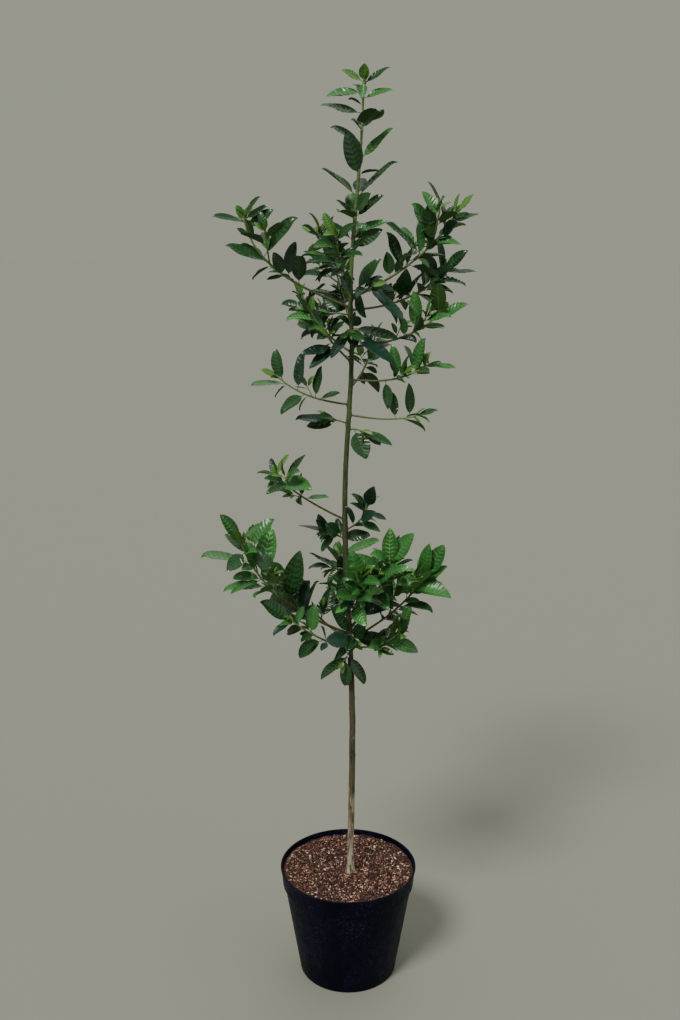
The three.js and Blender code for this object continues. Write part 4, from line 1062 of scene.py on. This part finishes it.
def trunk_rings():
    """Rings up the trunk. Its radius is the taper and flare, plus a collar at each shoot's root,
    a leaf scar at each old node on alternate sides, long fissures that fade upwards, and folds
    round its foot."""
    rng = np.random.default_rng(STREAM.bark)
    low = SOIL.top - TRUNK.sunk
    count = int((TRUNK.tip - low) / TRUNK.ring_step)
    z = np.linspace(low, TRUNK.tip, count)[:, None]
    turn = (2 * pi * np.arange(TRUNK.sides) / TRUNK.sides)[None]
    radius = trunk_radius(np.maximum(z, SOIL.top)) * np.ones_like(turn)

    def bell(at, heading, reach, width):
        apart = (turn - heading + pi) % (2 * pi) - pi
        return np.exp(-((z - at) / reach) ** 2 - (apart / width) ** 2)

    for shoot in SHOOTS:
        out = trunk_radius(shoot.z) * np.tan(radians(min(shoot.rise, BARK.steepest)))
        size = (LIMB.base_radius + LIMB.radius_per_length * shoot.length) / 2
        radius = radius + BARK.collar * size / BARK.collar_size * bell(
            shoot.z + out * BARK.collar_out, radians(shoot.heading), BARK.collar_reach,
            BARK.collar_turn)
    scars = np.arange(SOIL.top + BARK.scar_first, TRUNK.tip - BARK.scar_last, BARK.scar_step)
    for k, at in enumerate(scars):
        at = at + rng.uniform(-BARK.scar_jitter, BARK.scar_jitter)
        swing = rng.uniform(-BARK.scar_swing, BARK.scar_swing)
        heading = radians(k * RULE.golden_turn + swing)
        radius = radius + BARK.scar * bell(at, heading, BARK.scar_reach, BARK.scar_turn)
        radius = radius - BARK.dent * BARK.scar * bell(
            at + BARK.dent_above, heading, BARK.dent_reach, BARK.dent_turn)
    old = np.clip((BARK.smooth_above - z) / BARK.smooth_over, BARK.smoothest, 1)
    radius = radius + BARK.fissure * old * wrinkles(z, turn, rng, *WAVES.fissure)
    radius = radius + BARK.grain * old * wrinkles(z, turn, rng, *WAVES.grain)
    foot = np.exp((SOIL.top - z) / BARK.foot_reach)
    radius = radius + BARK.foot_fold * foot * wrinkles(z, turn, rng, *WAVES.fold)
    centre = trunk_axis(z[:, 0])
    ways = np.stack([np.cos(turn[0]), np.sin(turn[0]), np.zeros(TRUNK.sides)], axis=-1)
    return centre[:, None] + radius[..., None] * ways


def column_map(piece, rings, sides, columns):
    """The trunk's own map for patterns: its skin unrolled, cut into columns that stand side by
    side. Across a column is the turn round the trunk, and up it the height."""
    per_column = ceil((rings - 1) / columns)
    ring, side = np.meshgrid(np.arange(rings - 1), np.arange(sides), indexing="ij")
    column = ring // per_column
    rows = ring % per_column
    corners = []
    for on_side, on_ring in ((0, 0), (1, 0), (1, 1), (0, 1)):
        across = (column + 0.03 + 0.94 * (side + on_side) / sides) / columns
        corners.append(np.stack([across, 0.01 + 0.98 * (rows + on_ring) / per_column], axis=-1))
    bands = np.stack(corners, axis=2).reshape(-1, 2)
    caps = np.zeros((2 * sides, 2))
    layer = piece.data.uv_layers.new(name="OFBake")
    layer.data.foreach_set("uv", np.vstack([bands, caps]).astype(np.float32).ravel())


# ---------------------------------------------------------------- pot and compost meshes

def arc(centre, radius, start, end, steps):
    """Points of a round stretch of a profile, from one angle to another."""
    turn = np.radians(np.linspace(start, end, steps))
    return np.stack([centre[0] + radius * np.cos(turn), centre[1] + radius * np.sin(turn)], -1)


def turned_body(profile, sides, shape=None):
    """A closed body turned round +Z: each point of the profile, but its first and last on the
    axis, becomes a ring. shape may move the rings' points."""
    turn = 2 * pi * np.arange(sides) / sides
    inner = np.asarray(profile[1:-1], float)
    rings = np.stack([
        inner[:, :1] * np.cos(turn), inner[:, :1] * np.sin(turn),
        np.repeat(inner[:, 1:], sides, axis=1)], axis=-1)
    if shape:
        rings = shape(rings)
    count = len(inner)
    points = np.vstack([rings.reshape(-1, 3), [[0, 0, profile[0][1]], [0, 0, profile[-1][1]]]])
    foot, top = count * sides, count * sides + 1
    side = np.arange(sides)
    beside = (side + 1) % sides
    last = (count - 1) * sides
    fans = np.vstack([
        np.stack([beside, side, np.full(sides, foot)], -1),
        np.stack([side + last, beside + last, np.full(sides, top)], -1)])
    bands = ring_bands(count, sides)
    return points, [bands, fans], [np.zeros(len(bands), int), np.zeros(len(fans), int)]


def pot_inside(z):
    """Radius of the pot's inner wall at a height."""
    top = POT.rim_radius - POT.lip_width
    share = (z - POT.floor) / (POT.height - POT.floor)
    return lerp(POT.base_radius - POT.wall, top, share)


def pot_profile():
    """Half a section of the pot: a flat foot with a shallow hollow, the outer wall, the collar's
    rounded step, the rolled rim and the inner wall."""
    collar_foot = POT.height - POT.collar_depth
    collar_top = POT.rim_radius - POT.lip_out
    body_top = collar_top - POT.collar_flare - POT.collar_step
    share = np.linspace(0, 1, POT.wall_steps)[1:-1, None]
    wall = lerp(np.array([[POT.base_radius, POT.foot_chamfer]]), [[body_top, collar_foot]], share)
    roll = POT.lip_width / 2
    foot, step, corner = POT.foot_round, POT.step_round, POT.collar_round
    collar_start = np.array([[body_top + POT.collar_step, collar_foot + corner]])
    collar_end = [[collar_top, POT.height - POT.lip_height - step]]
    inner_foot = pot_inside(POT.floor)
    return np.vstack([
        [[0, POT.hollow], [POT.hollow_radius, POT.hollow], [POT.foot_ring, 0]],
        arc((POT.base_radius - foot, foot), foot, -90, -6, 6),
        wall,
        arc((body_top + step, collar_foot - step), step, 180, 90, 5),
        arc((body_top + POT.collar_step - corner, collar_foot + corner), corner, -90, 0, 5),
        lerp(collar_start, collar_end, np.linspace(0, 1, POT.collar_steps)[1:, None]),
        arc((POT.rim_radius - roll, POT.height - roll), roll, -60, 180, 13),
        [[pot_inside(z), z] for z in POT.inner_heights],
        [[inner_foot - POT.corner_in, POT.floor + POT.corner_up],
         [inner_foot - POT.floor_in, POT.floor], [0, POT.floor]],
    ])


def bed_height(x, y):
    """Height of the compost: level round the trunk, then rising to the wall, with low heaps
    that are a sum of plane waves."""
    rng = np.random.default_rng(STREAM.bed)
    away = np.hypot(x, y)
    edge = SOIL.top + SOIL.edge_rise
    height = np.interp(away, [SOIL.plateau, SOIL.slope_radius, pot_inside(edge)],
                       [SOIL.top, SOIL.top + SOIL.slope_rise, edge])
    for _ in range(SOIL.waves):
        way, rate = rng.uniform(0, 2 * pi), rng.uniform(*SOIL.wave_rate)
        height = height + SOIL.wave * np.cos(
            rate * (x * cos(way) + y * sin(way)) + rng.uniform(0, 2 * pi))
    return height


def bed_body():
    """The compost's body: it fills the pot, and its top follows the bed's height."""
    bottom = POT.floor + SOIL.off_floor
    edge = SOIL.top + SOIL.edge_rise
    rim = pot_inside(edge) - SOIL.clear
    top = np.linspace(rim, SOIL.inmost, SOIL.rings)
    inside = pot_inside(bottom)
    profile = np.vstack([
        [[0, bottom], [inside - SOIL.foot_in, bottom], [inside - SOIL.clear, bottom + SOIL.foot_up],
         [rim, edge - SOIL.rim_low]],
        np.stack([top, np.full(SOIL.rings, edge)], -1), [[0, SOIL.top]]])

    def shape(rings):
        upper = rings[-SOIL.rings:]
        upper[..., 2] = bed_height(upper[..., 0], upper[..., 1])
        upper[0, :, 2] -= SOIL.rim_dip
        return rings

    return turned_body(profile, SOIL.sides, shape)


CHIPS = Sizes(
    count=12000, shortest=1.5, longest=7.5, broad=(0.32, 0.75), thick=(0.14, 0.34), tilt=0.5,
    from_trunk=9, from_wall=2.5, lift=(0, 0.7), worn=(0.5, 1),
)
# Tints of the chips, each with its share of them
CHIP_TINTS = {
    "umber": (0.40, (0.012, 0.003, 0.002)), "rust": (0.23, (0.065, 0.018, 0.011)),
    "chestnut": (0.14, (0.17, 0.065, 0.042)), "tan": (0.145, (0.38, 0.205, 0.145)),
    "straw": (0.07, (0.68, 0.50, 0.39)), "moss": (0.015, (0.05, 0.06, 0.02)),
}
# Corners of a chip, and its six faces
CORNERS = np.array([[x, y, z] for z in (-1, 1) for y in (-1, 1) for x in (-1, 1)], float)
CORNER_FACES = np.array([
    [0, 2, 3, 1], [4, 5, 7, 6], [0, 1, 5, 4], [2, 6, 7, 3], [0, 4, 6, 2], [1, 3, 7, 5]])


def chips_body():
    """Bark chips strewn on the bed: boxes whose corners are drawn in by chance, each with its
    own heading and tilt. Most are short, and the length grows as the cube of a draw."""
    rng = np.random.default_rng(STREAM.chips)
    count = CHIPS.count
    length = lerp(CHIPS.shortest, CHIPS.longest, rng.random(count) ** 3)
    width = length * rng.uniform(*CHIPS.broad, count)
    thick = length * rng.uniform(*CHIPS.thick, count)
    rim = pot_inside(SOIL.top) - CHIPS.from_wall - length / 2
    away = np.sqrt(lerp(CHIPS.from_trunk**2, rim**2, rng.random(count)))
    turn = rng.uniform(0, 2 * pi, count)
    x, y = away * np.cos(turn), away * np.sin(turn)
    place = np.stack([x, y, bed_height(x, y) + thick * rng.uniform(*CHIPS.lift, count)], axis=-1)
    up = unit(UP + rng.normal(0, CHIPS.tilt, (count, 3)) * [1, 1, 0])
    long_way = unit(np.cross(up, unit(rng.normal(size=(count, 3)))))
    axes = np.stack([long_way, np.cross(up, long_way), up], axis=1)
    sizes = np.stack([length, width, thick], axis=-1)[:, None] / 2
    corners = CORNERS * sizes * rng.uniform(*CHIPS.worn, (count, 8, 3))
    points = place[:, None] + np.einsum("cki,cij->ckj", corners, axes)
    faces = (CORNER_FACES + 8 * np.arange(count)[:, None, None]).reshape(-1, 4)
    tint = rng.choice(len(CHIP_TINTS), count, p=[share for share, _ in CHIP_TINTS.values()])
    return points.reshape(-1, 3), [faces], [np.repeat(tint, 6)]


# ---------------------------------------------------------------- materials

def shader(name, roughness, **sockets):
    """A material with its main shader, and the numbers that are the same all over it."""
    material = bpy.data.materials.new(name)
    material.use_nodes = True
    main = material.node_tree.nodes["Principled BSDF"]
    main.inputs["Roughness"].default_value = roughness
    for socket, value in sockets.items():
        main.inputs[socket.replace("_", " ").title().replace("Ior", "IOR")].default_value = value
    return material, material.node_tree, main


def plain(name, colour, roughness, **sockets):
    material, _, main = shader(name, roughness, **sockets)
    main.inputs["Base Color"].default_value = (*colour, 1)
    return material


def node(tree, kind, links=None, **values):
    """A node of a kind: values set its properties, and links its inputs, by name or number, to
    a number or to another node's output."""
    made = tree.nodes.new(kind)
    for name, value in values.items():
        setattr(made, name, value)
    for name, source in (links or {}).items():
        if isinstance(source, bpy.types.NodeSocket):
            tree.links.new(source, made.inputs[name])
        else:
            made.inputs[name].default_value = source
    return made


def noise(tree, place, scale, detail=4.0, rough=0.55, stretch=(1, 1, 1)):
    """Noise on the object's own coordinates, drawn out along the axes by a stretch."""
    mapped = node(tree, "ShaderNodeMapping", {"Vector": place, "Scale": stretch})
    made = node(tree, "ShaderNodeTexNoise", {
        "Vector": mapped.outputs["Vector"], "Scale": scale, "Detail": detail, "Roughness": rough})
    return made.outputs["Fac"]


def ramp(tree, source, stops):
    """A colour for each place on a scale from 0 to 1."""
    made = node(tree, "ShaderNodeValToRGB", {"Fac": source})
    band = made.color_ramp
    while len(band.elements) < len(stops):
        band.elements.new(0.5)
    for element, (at, colour) in zip(band.elements, stops):
        element.position = at
        element.color = (*colour, 1)
    return made.outputs["Color"]


def mixed(tree, share, first, second, way="MIX"):
    made = node(tree, "ShaderNodeMix", data_type="RGBA", blend_type=way)
    for index, source in ((0, share), (6, first), (7, second)):
        if isinstance(source, bpy.types.NodeSocket):
            tree.links.new(source, made.inputs[index])
        elif index:
            made.inputs[index].default_value = (*source, 1)
        else:
            made.inputs[index].default_value = source
    return made.outputs[2]


def spread_over(tree, source, low, high, new_low=0.0, new_high=1.0):
    """Stretches a stretch of a scale to another, and holds it at both ends."""
    made = node(tree, "ShaderNodeMapRange", {
        "Value": source, "From Min": low, "From Max": high, "To Min": new_low, "To Max": new_high})
    return made.outputs["Result"]


def maths(tree, way, *terms):
    """A sum or product of numbers, or of other nodes' outputs, taken in a node."""
    return node(tree, "ShaderNodeMath", dict(enumerate(terms)), operation=way).outputs[0]


def relief(tree, main, source, strength, distance):
    bump = node(tree, "ShaderNodeBump", {
        "Height": source, "Strength": strength, "Distance": distance})
    tree.links.new(bump.outputs["Normal"], main.inputs["Normal"])


def bark_finish():
    """The trunk's bark by height: grey-beige with raised pores at the foot, mottled tan and dark
    brown above, then brown-green, and green with pale pores near the leader."""
    material, tree, main = shader("trunk_bark", 0.72)
    place = node(tree, "ShaderNodeTexCoord").outputs["Object"]
    height = node(tree, "ShaderNodeSeparateXYZ", {"Vector": place}).outputs["Z"]
    drift = noise(tree, place, 9, 3, 0.6, (1, 1, 0.7))
    wander = maths(tree, "ADD", drift, -0.5)
    shifted = maths(tree, "MULTIPLY_ADD", wander, 0.16, height)
    share = spread_over(tree, shifted, 0.2, 1.5)
    base = ramp(tree, share, [
        (0.0, (0.44, 0.39, 0.30)), (0.06, (0.37, 0.32, 0.235)), (0.11, (0.15, 0.12, 0.07)),
        (0.17, (0.08, 0.062, 0.032)), (0.26, (0.066, 0.054, 0.024)), (0.4, (0.049, 0.042, 0.017)),
        (0.5, (0.043, 0.046, 0.017)), (0.62, (0.042, 0.066, 0.019)),
        (0.85, (0.055, 0.11, 0.025)), (1.0, (0.085, 0.155, 0.034))])
    patch = noise(tree, place, 38, 5, 0.62, (2.2, 2.2, 0.4))
    blotch = spread_over(tree, patch, 0.55, 0.61)
    low = spread_over(tree, height, 0.85, 0.5)
    strong = maths(tree, "MULTIPLY", maths(tree, "MULTIPLY", blotch, low), 0.8)
    tan = mixed(tree, strong, base, (0.34, 0.265, 0.165))
    streak = noise(tree, place, 110, 4, 0.62, (1.5, 1.5, 0.22))
    dark = spread_over(tree, streak, 0.5, 0.6, 0.0, 0.85)
    grained = mixed(tree, dark, tan, (0.02, 0.015, 0.008))
    drawn = node(tree, "ShaderNodeMapping", {"Vector": place, "Scale": (0.6, 0.6, 1.5)})
    pores = node(tree, "ShaderNodeTexVoronoi", {
        "Vector": drawn.outputs["Vector"], "Scale": 260, "Randomness": 1.0})
    dots = spread_over(tree, pores.outputs["Distance"], 0.16, 0.1)
    flecked = mixed(tree, maths(tree, "MULTIPLY", dots, 0.55), grained, (0.42, 0.35, 0.24))
    tree.links.new(flecked, main.inputs["Base Color"])
    rough = noise(tree, place, 420, 5, 0.65, (1, 1, 0.45))
    relief(tree, main, maths(tree, "ADD", rough, dots), 0.55, 0.0009)
    return material


def pot_finish():
    """Black moulded plastic, matt, with a fine bluish bloom of dust and a few scuffs."""
    material, tree, main = shader("pot_plastic", 0.5, specular_ior_level=0.1)
    place = node(tree, "ShaderNodeTexCoord").outputs["Object"]
    specks = spread_over(tree, noise(tree, place, 330, 3, 0.7), 0.55, 0.72)
    cloud = spread_over(tree, noise(tree, place, 16, 4, 0.6, (1, 1, 0.6)), 0.38, 0.72)
    dusty = maths(tree, "MULTIPLY", specks, cloud)
    tinted = mixed(tree, cloud, (0.0006, 0.0006, 0.0065), (0.0014, 0.0015, 0.0125))
    bloom = mixed(tree, dusty, tinted, (0.06, 0.066, 0.11))
    tree.links.new(bloom, main.inputs["Base Color"])
    rough = spread_over(tree, noise(tree, place, 60, 5, 0.6), 0.3, 0.7, 0.42, 0.62)
    tree.links.new(rough, main.inputs["Roughness"])
    relief(tree, main, noise(tree, place, 700, 2, 0.5), 0.12, 0.0004)
    return material


def bed_finish():
    """The compost between the chips: dark crumbs of bark with a few reddish ones."""
    material, tree, main = shader("compost_bed", 0.95)
    place = node(tree, "ShaderNodeTexCoord").outputs["Object"]
    crumbs = noise(tree, place, 330, 6, 0.7)
    colour = ramp(tree, crumbs, [
        (0.32, (0.006, 0.002, 0.0012)), (0.48, (0.028, 0.009, 0.006)),
        (0.6, (0.1, 0.037, 0.024)), (0.74, (0.25, 0.125, 0.085))])
    tree.links.new(colour, main.inputs["Base Color"])
    relief(tree, main, crumbs, 1.0, 0.003)
    return material


# Leaf looks: the record's slot, three tints of the upper side, the underside, midrib, vein
# and stalk
LEAF_LOOKS = {
    "old": ("old_leaf", [(0.010, 0.049, 0.014), (0.014, 0.068, 0.018), (0.007, 0.031, 0.011)],
            (0.036, 0.085, 0.025), (0.036, 0.115, 0.03), (0.024, 0.088, 0.022),
            (0.09, 0.14, 0.035)),
    # The next look is the dark green of the old leaves with a blue tint painted into every colour of it:
    # a painted reflection of the sky on their gloss. Its slot keeps the record's name.
    "waxy": ("waxy_leaf", [(0.007, 0.033, 0.021), (0.011, 0.046, 0.030), (0.005, 0.022, 0.016)],
             (0.034, 0.070, 0.028), (0.024, 0.075, 0.038), (0.016, 0.055, 0.032),
             (0.08, 0.12, 0.04)),
    "green": ("green_leaf", [(0.025, 0.120, 0.028), (0.035, 0.162, 0.037), (0.017, 0.081, 0.021)],
              (0.06, 0.14, 0.035), (0.10, 0.27, 0.065), (0.065, 0.22, 0.05),
              (0.11, 0.19, 0.045)),
    "fresh": ("fresh_leaf", [(0.051, 0.235, 0.051), (0.079, 0.305, 0.064), (0.036, 0.167, 0.038)],
              (0.09, 0.22, 0.055), (0.24, 0.52, 0.15), (0.17, 0.43, 0.12),
              (0.14, 0.26, 0.06)),
    "young": ("fresh_leaf", [(0.05, 0.17, 0.025), (0.072, 0.2, 0.03), (0.08, 0.13, 0.027)],
              (0.10, 0.19, 0.04), (0.17, 0.33, 0.065), (0.12, 0.26, 0.05),
              (0.15, 0.22, 0.05)),
}
# How rough the upper side is, by look
UPPER_SHEEN = {"old": 0.27, "waxy": 0.32, "green": 0.28, "fresh": 0.3, "young": 0.38}
# How the leaves of a mass share out among the looks, by its tint
LOOK_SHARES = {
    "dark": {"old": 0.6, "waxy": 0.12, "green": 0.28},
    # Bluish masses take mostly the look whose blue tint is a painted sky reflection
    "bluish": {"waxy": 0.65, "old": 0.35},
    "leader": {"old": 0.42, "green": 0.42, "waxy": 0.16},
    "green": {"green": 0.55, "old": 0.27, "fresh": 0.13, "waxy": 0.05},
    "bright": {"fresh": 0.55, "green": 0.35, "old": 0.1},
}
MASS_LOOK = {"dark": "old", "bluish": "waxy", "green": "green", "bright": "fresh"}


def leaf_finish(look):
    """The plain finishes of a leaf: three upper tints, underside, midrib, vein and stalk."""
    _, uppers, under, rib, vein, stalk = LEAF_LOOKS[look]
    sheen = UPPER_SHEEN[look]
    made = [
        plain(f"{look}_leaf_{name}", colour, sheen, specular_ior_level=0.5)
        for name, colour in zip(("deep", "mid", "dull"), uppers)]
    made.append(plain(f"{look}_leaf_under", under, 0.6, specular_ior_level=0.25))
    made.append(plain(f"{look}_leaf_rib", rib, 0.45, specular_ior_level=0.3))
    made.append(plain(f"{look}_leaf_vein", vein, sheen, specular_ior_level=0.3))
    made.append(plain(f"{look}_leaf_stalk", stalk, 0.5, specular_ior_level=0.3))
    return made


# ---------------------------------------------------------------- the pieces

def finished(piece, slot, *nodes):
    """Hands a piece over: it rides on the one body and stands for its solids."""
    if nodes:
        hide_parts(*nodes)
    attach(piece, "root")
    return piece


def make_pot():
    """The pot's turned body, with its drain holes cut through the floor."""
    black = pot_finish()
    pot = put_mesh("nursery_pot", *turned_body(pot_profile(), POT.sides), [black], sharp=40)
    parts = []
    for k in range(DRAIN.count):
        turn = 2 * pi * (k + 0.5) / DRAIN.count
        middle = np.array([DRAIN.ring * cos(turn), DRAIN.ring * sin(turn), 0])
        centres = middle + np.array(DRAIN.drill)[:, None] * UP
        rings = rings_along(centres, np.full(2, DRAIN.radius), DRAIN.sides)
        parts.append(body_of_rings(rings, np.zeros(1, int)))
    drill = put_mesh("drill", *joined(parts), [black])
    cut = pot.modifiers.new("drain_holes", "BOOLEAN")
    cut.operation = "DIFFERENCE"
    cut.object = drill
    cut.solver = "EXACT"
    scene_now = bpy.context.evaluated_depsgraph_get()
    pot.data = bpy.data.meshes.new_from_object(pot.evaluated_get(scene_now))
    pot.modifiers.clear()
    bpy.data.objects.remove(drill)
    finished(pot, "pot_plastic", "pot")


def make_compost():
    bed = put_mesh("compost_bed", *bed_body(), [bed_finish()], sharp=60)
    finished(bed, "bark_compost", "soil")
    tints = [plain(f"chip_{name}", colour, 0.85) for name, (_, colour) in CHIP_TINTS.items()]
    chips = put_mesh("bark_chips", *chips_body(), tints, sharp=20)
    finished(chips, "bark_compost")


def make_trunk():
    rings = trunk_rings()
    bands = np.zeros(len(rings) - 1, int)
    trunk = put_mesh("trunk_bark", *body_of_rings(rings, bands), [bark_finish()], sharp=75)
    column_map(trunk, *rings.shape[:2], BARK.bake_columns)
    finished(trunk, "bark", "trunk")


SHOOT_TINTS = {
    "brown": (0.075, 0.055, 0.026), "olive": (0.075, 0.088, 0.03), "green": (0.09, 0.14, 0.04),
    "pale": (0.13, 0.2, 0.058),
}
# The stretch of that scale that each kind of limb runs through, and how far it wanders. A stem
# low on the trunk is older, and brown for more of its length
WOOD = Sizes(
    low_below=1000, low_stem=(0.02, 0.95), high_stem=(0.24, 0.95), twig=(0.45, 1),
    leader=(0.5, 0.99), wander=0.05,
)


def shoot_slots(start, end, rng):
    """Which tint each band of a shoot takes: brown at its root, then olive, green and pale
    towards its tip, with the changes wandering a little."""
    def slot_at(middles):
        place = lerp(start, end, middles) + rng.normal(0, WOOD.wander, len(middles))
        return np.clip((place * len(SHOOT_TINTS)).astype(int), 0, len(SHOOT_TINTS) - 1)
    return slot_at


def stem_slots(shoot, rng):
    stretch = WOOD.low_stem if shoot.z < WOOD.low_below else WOOD.high_stem
    return shoot_slots(*stretch, rng)


def make_shoots(masses, top):
    """The bare boughs as one piece, and every stem, twig and twiglet above them as another."""
    rng = np.random.default_rng(STREAM.shoots)
    tints = [plain(f"shoot_{name}", colour, 0.55) for name, colour in SHOOT_TINTS.items()]
    boughs = [mass for mass in masses if mass.shoot.bare > 0]
    parts = [
        limb_body(mass.limbs[0], 0, mass.shoot.bare, rng, stem_slots(mass.shoot, rng), False)
        for mass in boughs]
    bare = put_mesh("boughs", *joined(parts), tints, sharp=60)
    finished(bare, "shoot_bark", *[f"bough_{mass.name}" for mass in boughs])

    parts = []
    for mass in masses:
        stem, *twigs = mass.limbs
        parts.append(limb_body(stem, mass.shoot.bare, 1, rng, stem_slots(mass.shoot, rng), True))
        for twig in twigs:
            parts.append(limb_body(twig, 0, 1, rng, shoot_slots(*WOOD.twig, rng), True))
    parts.append(limb_body(top.limbs[0], 0, 1, rng, shoot_slots(*WOOD.leader, rng), True))
    stems = put_mesh("shoot_stems", *joined(parts), tints, sharp=60)
    finished(stems, "shoot_bark")


# Leaves are old along this share of a stem and all over a spur, and short ones at a tip young
# The third number is the part of the old leaves near a root that take the blue tint painted in as a
# reflection of the sky
AGE = Sizes(old_to=0.5, spur=50, waxy_share=0.45, young_from=0.93, young_share=0.6, young_most=52)


def deal_looks(masses, top):
    """Shares the leaves out among the looks, mass by mass. Young leaves stay young, small ones
    near a stem's tip are mostly young as well, and those near its root are old, a share of
    them with a blue tint that is a painted sky reflection."""
    rng = np.random.default_rng(STREAM.looks)
    dealt = {look: [] for look in LEAF_LOOKS}
    for mass in [*masses, top]:
        shares = LOOK_SHARES[mass.shoot.tint if mass.shoot else "leader"]
        looks = rng.choice(list(shares), len(mass.leaves), p=list(shares.values()))
        chances = rng.random(len(mass.leaves))
        old_to = 0 if mass is top else 1 if mass.shoot.length < AGE.spur else AGE.old_to
        for leaf, look, chance in zip(mass.leaves, looks, chances):
            on_stem = leaf.carrier is mass.limbs[0]
            if leaf.kind == "young":
                look = "young"
            elif on_stem and leaf.at <= old_to:
                look = "waxy" if chance < AGE.waxy_share else "old"
            elif on_stem and leaf.at > AGE.young_from and leaf.length < AGE.young_most:
                look = "young" if chance < AGE.young_share else look
            dealt[look].append(leaf)
    return dealt


def make_leaves(masses, top):
    """Every look's leaves as one piece, which stands for the masses of that tint."""
    rng = np.random.default_rng(STREAM.leaves)
    stands_for = {look: [] for look in LEAF_LOOKS}
    for mass in masses:
        stands_for[MASS_LOOK[mass.shoot.tint]].append("leaves_" + mass.name)
    stands_for["green"].append("leaves_leader")
    for look, leaves in deal_looks(masses, top).items():
        small = [leaf for leaf in leaves if leaf.length < BLADE.small_leaf]
        large = [leaf for leaf in leaves if leaf.length >= BLADE.small_leaf]
        bodies = [
            leaf_body(some, veins, SPINY[look], rng)
            for some, veins in ((small, BLADE.few_veins), (large, BLADE.many_veins)) if some]
        piece = put_mesh(f"{look}_leaves", *joined(bodies), leaf_finish(look), sharp=60)
        finished(piece, LEAF_LOOKS[look][0], *stands_for[look])


# ---------------------------------------------------------------- stage, light and camera

# The camera, in metres: it stands in front of the pot, and looks down by some degrees
CAMERA = Sizes(lens=38.82, place=(-0.0169, -2.045, 1.493), down=13.8)
STAGE = Sizes(half=80000, floor=(0.2545, 0.2605, 0.221), air=(0.34, 0.35, 0.28))
# Soft lamps far away: heading they shine from, how high, strength, how wide, and colour
LAMPS = {
    "key": (-122, 50, 2.7, 16, (1.0, 0.985, 0.95)),
    "fill": (-30, 30, 0.4, 50, (0.95, 0.98, 1.0)),
    "top": (60, 80, 0.45, 40, (0.97, 0.99, 1.0)),
    "back": (75, 36, 0.45, 60, (1.0, 0.99, 0.96)),
}


def make_stage():
    """A wide pale floor that meets the air in one tone, soft lamps, and the camera."""
    edge = STAGE.half
    corners = np.array([[-edge, -edge, 0], [edge, -edge, 0], [edge, edge, 0], [-edge, edge, 0]])
    matt = plain("floor", STAGE.floor, 0.95, specular_ior_level=0.1)
    floor = put_mesh("floor", corners, [np.array([[0, 1, 2, 3]])], [np.zeros(1, int)], [matt])

    world = bpy.data.worlds.new("studio")
    bpy.context.scene.world = world
    world.use_nodes = True
    air = world.node_tree.nodes["Background"]
    air.inputs["Color"].default_value = (*STAGE.air, 1)

    for name, (heading, rise, strength, wide, colour) in LAMPS.items():
        data = bpy.data.lights.new(name, "SUN")
        data.energy = strength
        data.angle = radians(wide)
        data.color = colour
        lamp = bpy.data.objects.new(name, data)
        lamp.rotation_euler = Vector(direction(heading, rise)).to_track_quat("Z", "Y").to_euler()
        bpy.context.scene.collection.objects.link(lamp)

    lens = bpy.data.cameras.new("camera")
    lens.lens = CAMERA.lens
    camera = bpy.data.objects.new("camera", lens)
    camera.location = CAMERA.place
    camera.rotation_euler = (radians(90 - CAMERA.down), 0, 0)
    bpy.context.scene.collection.objects.link(camera)
    bpy.context.scene.camera = camera


def main():
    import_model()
    make_stage()
    make_pot()
    make_compost()
    masses, top, room = grow_plant()
    grow_finer(masses, top, room)
    make_trunk()
    make_shoots(masses, top)
    make_leaves(masses, top)
    bpy.context.view_layer.update()
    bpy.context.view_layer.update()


main()
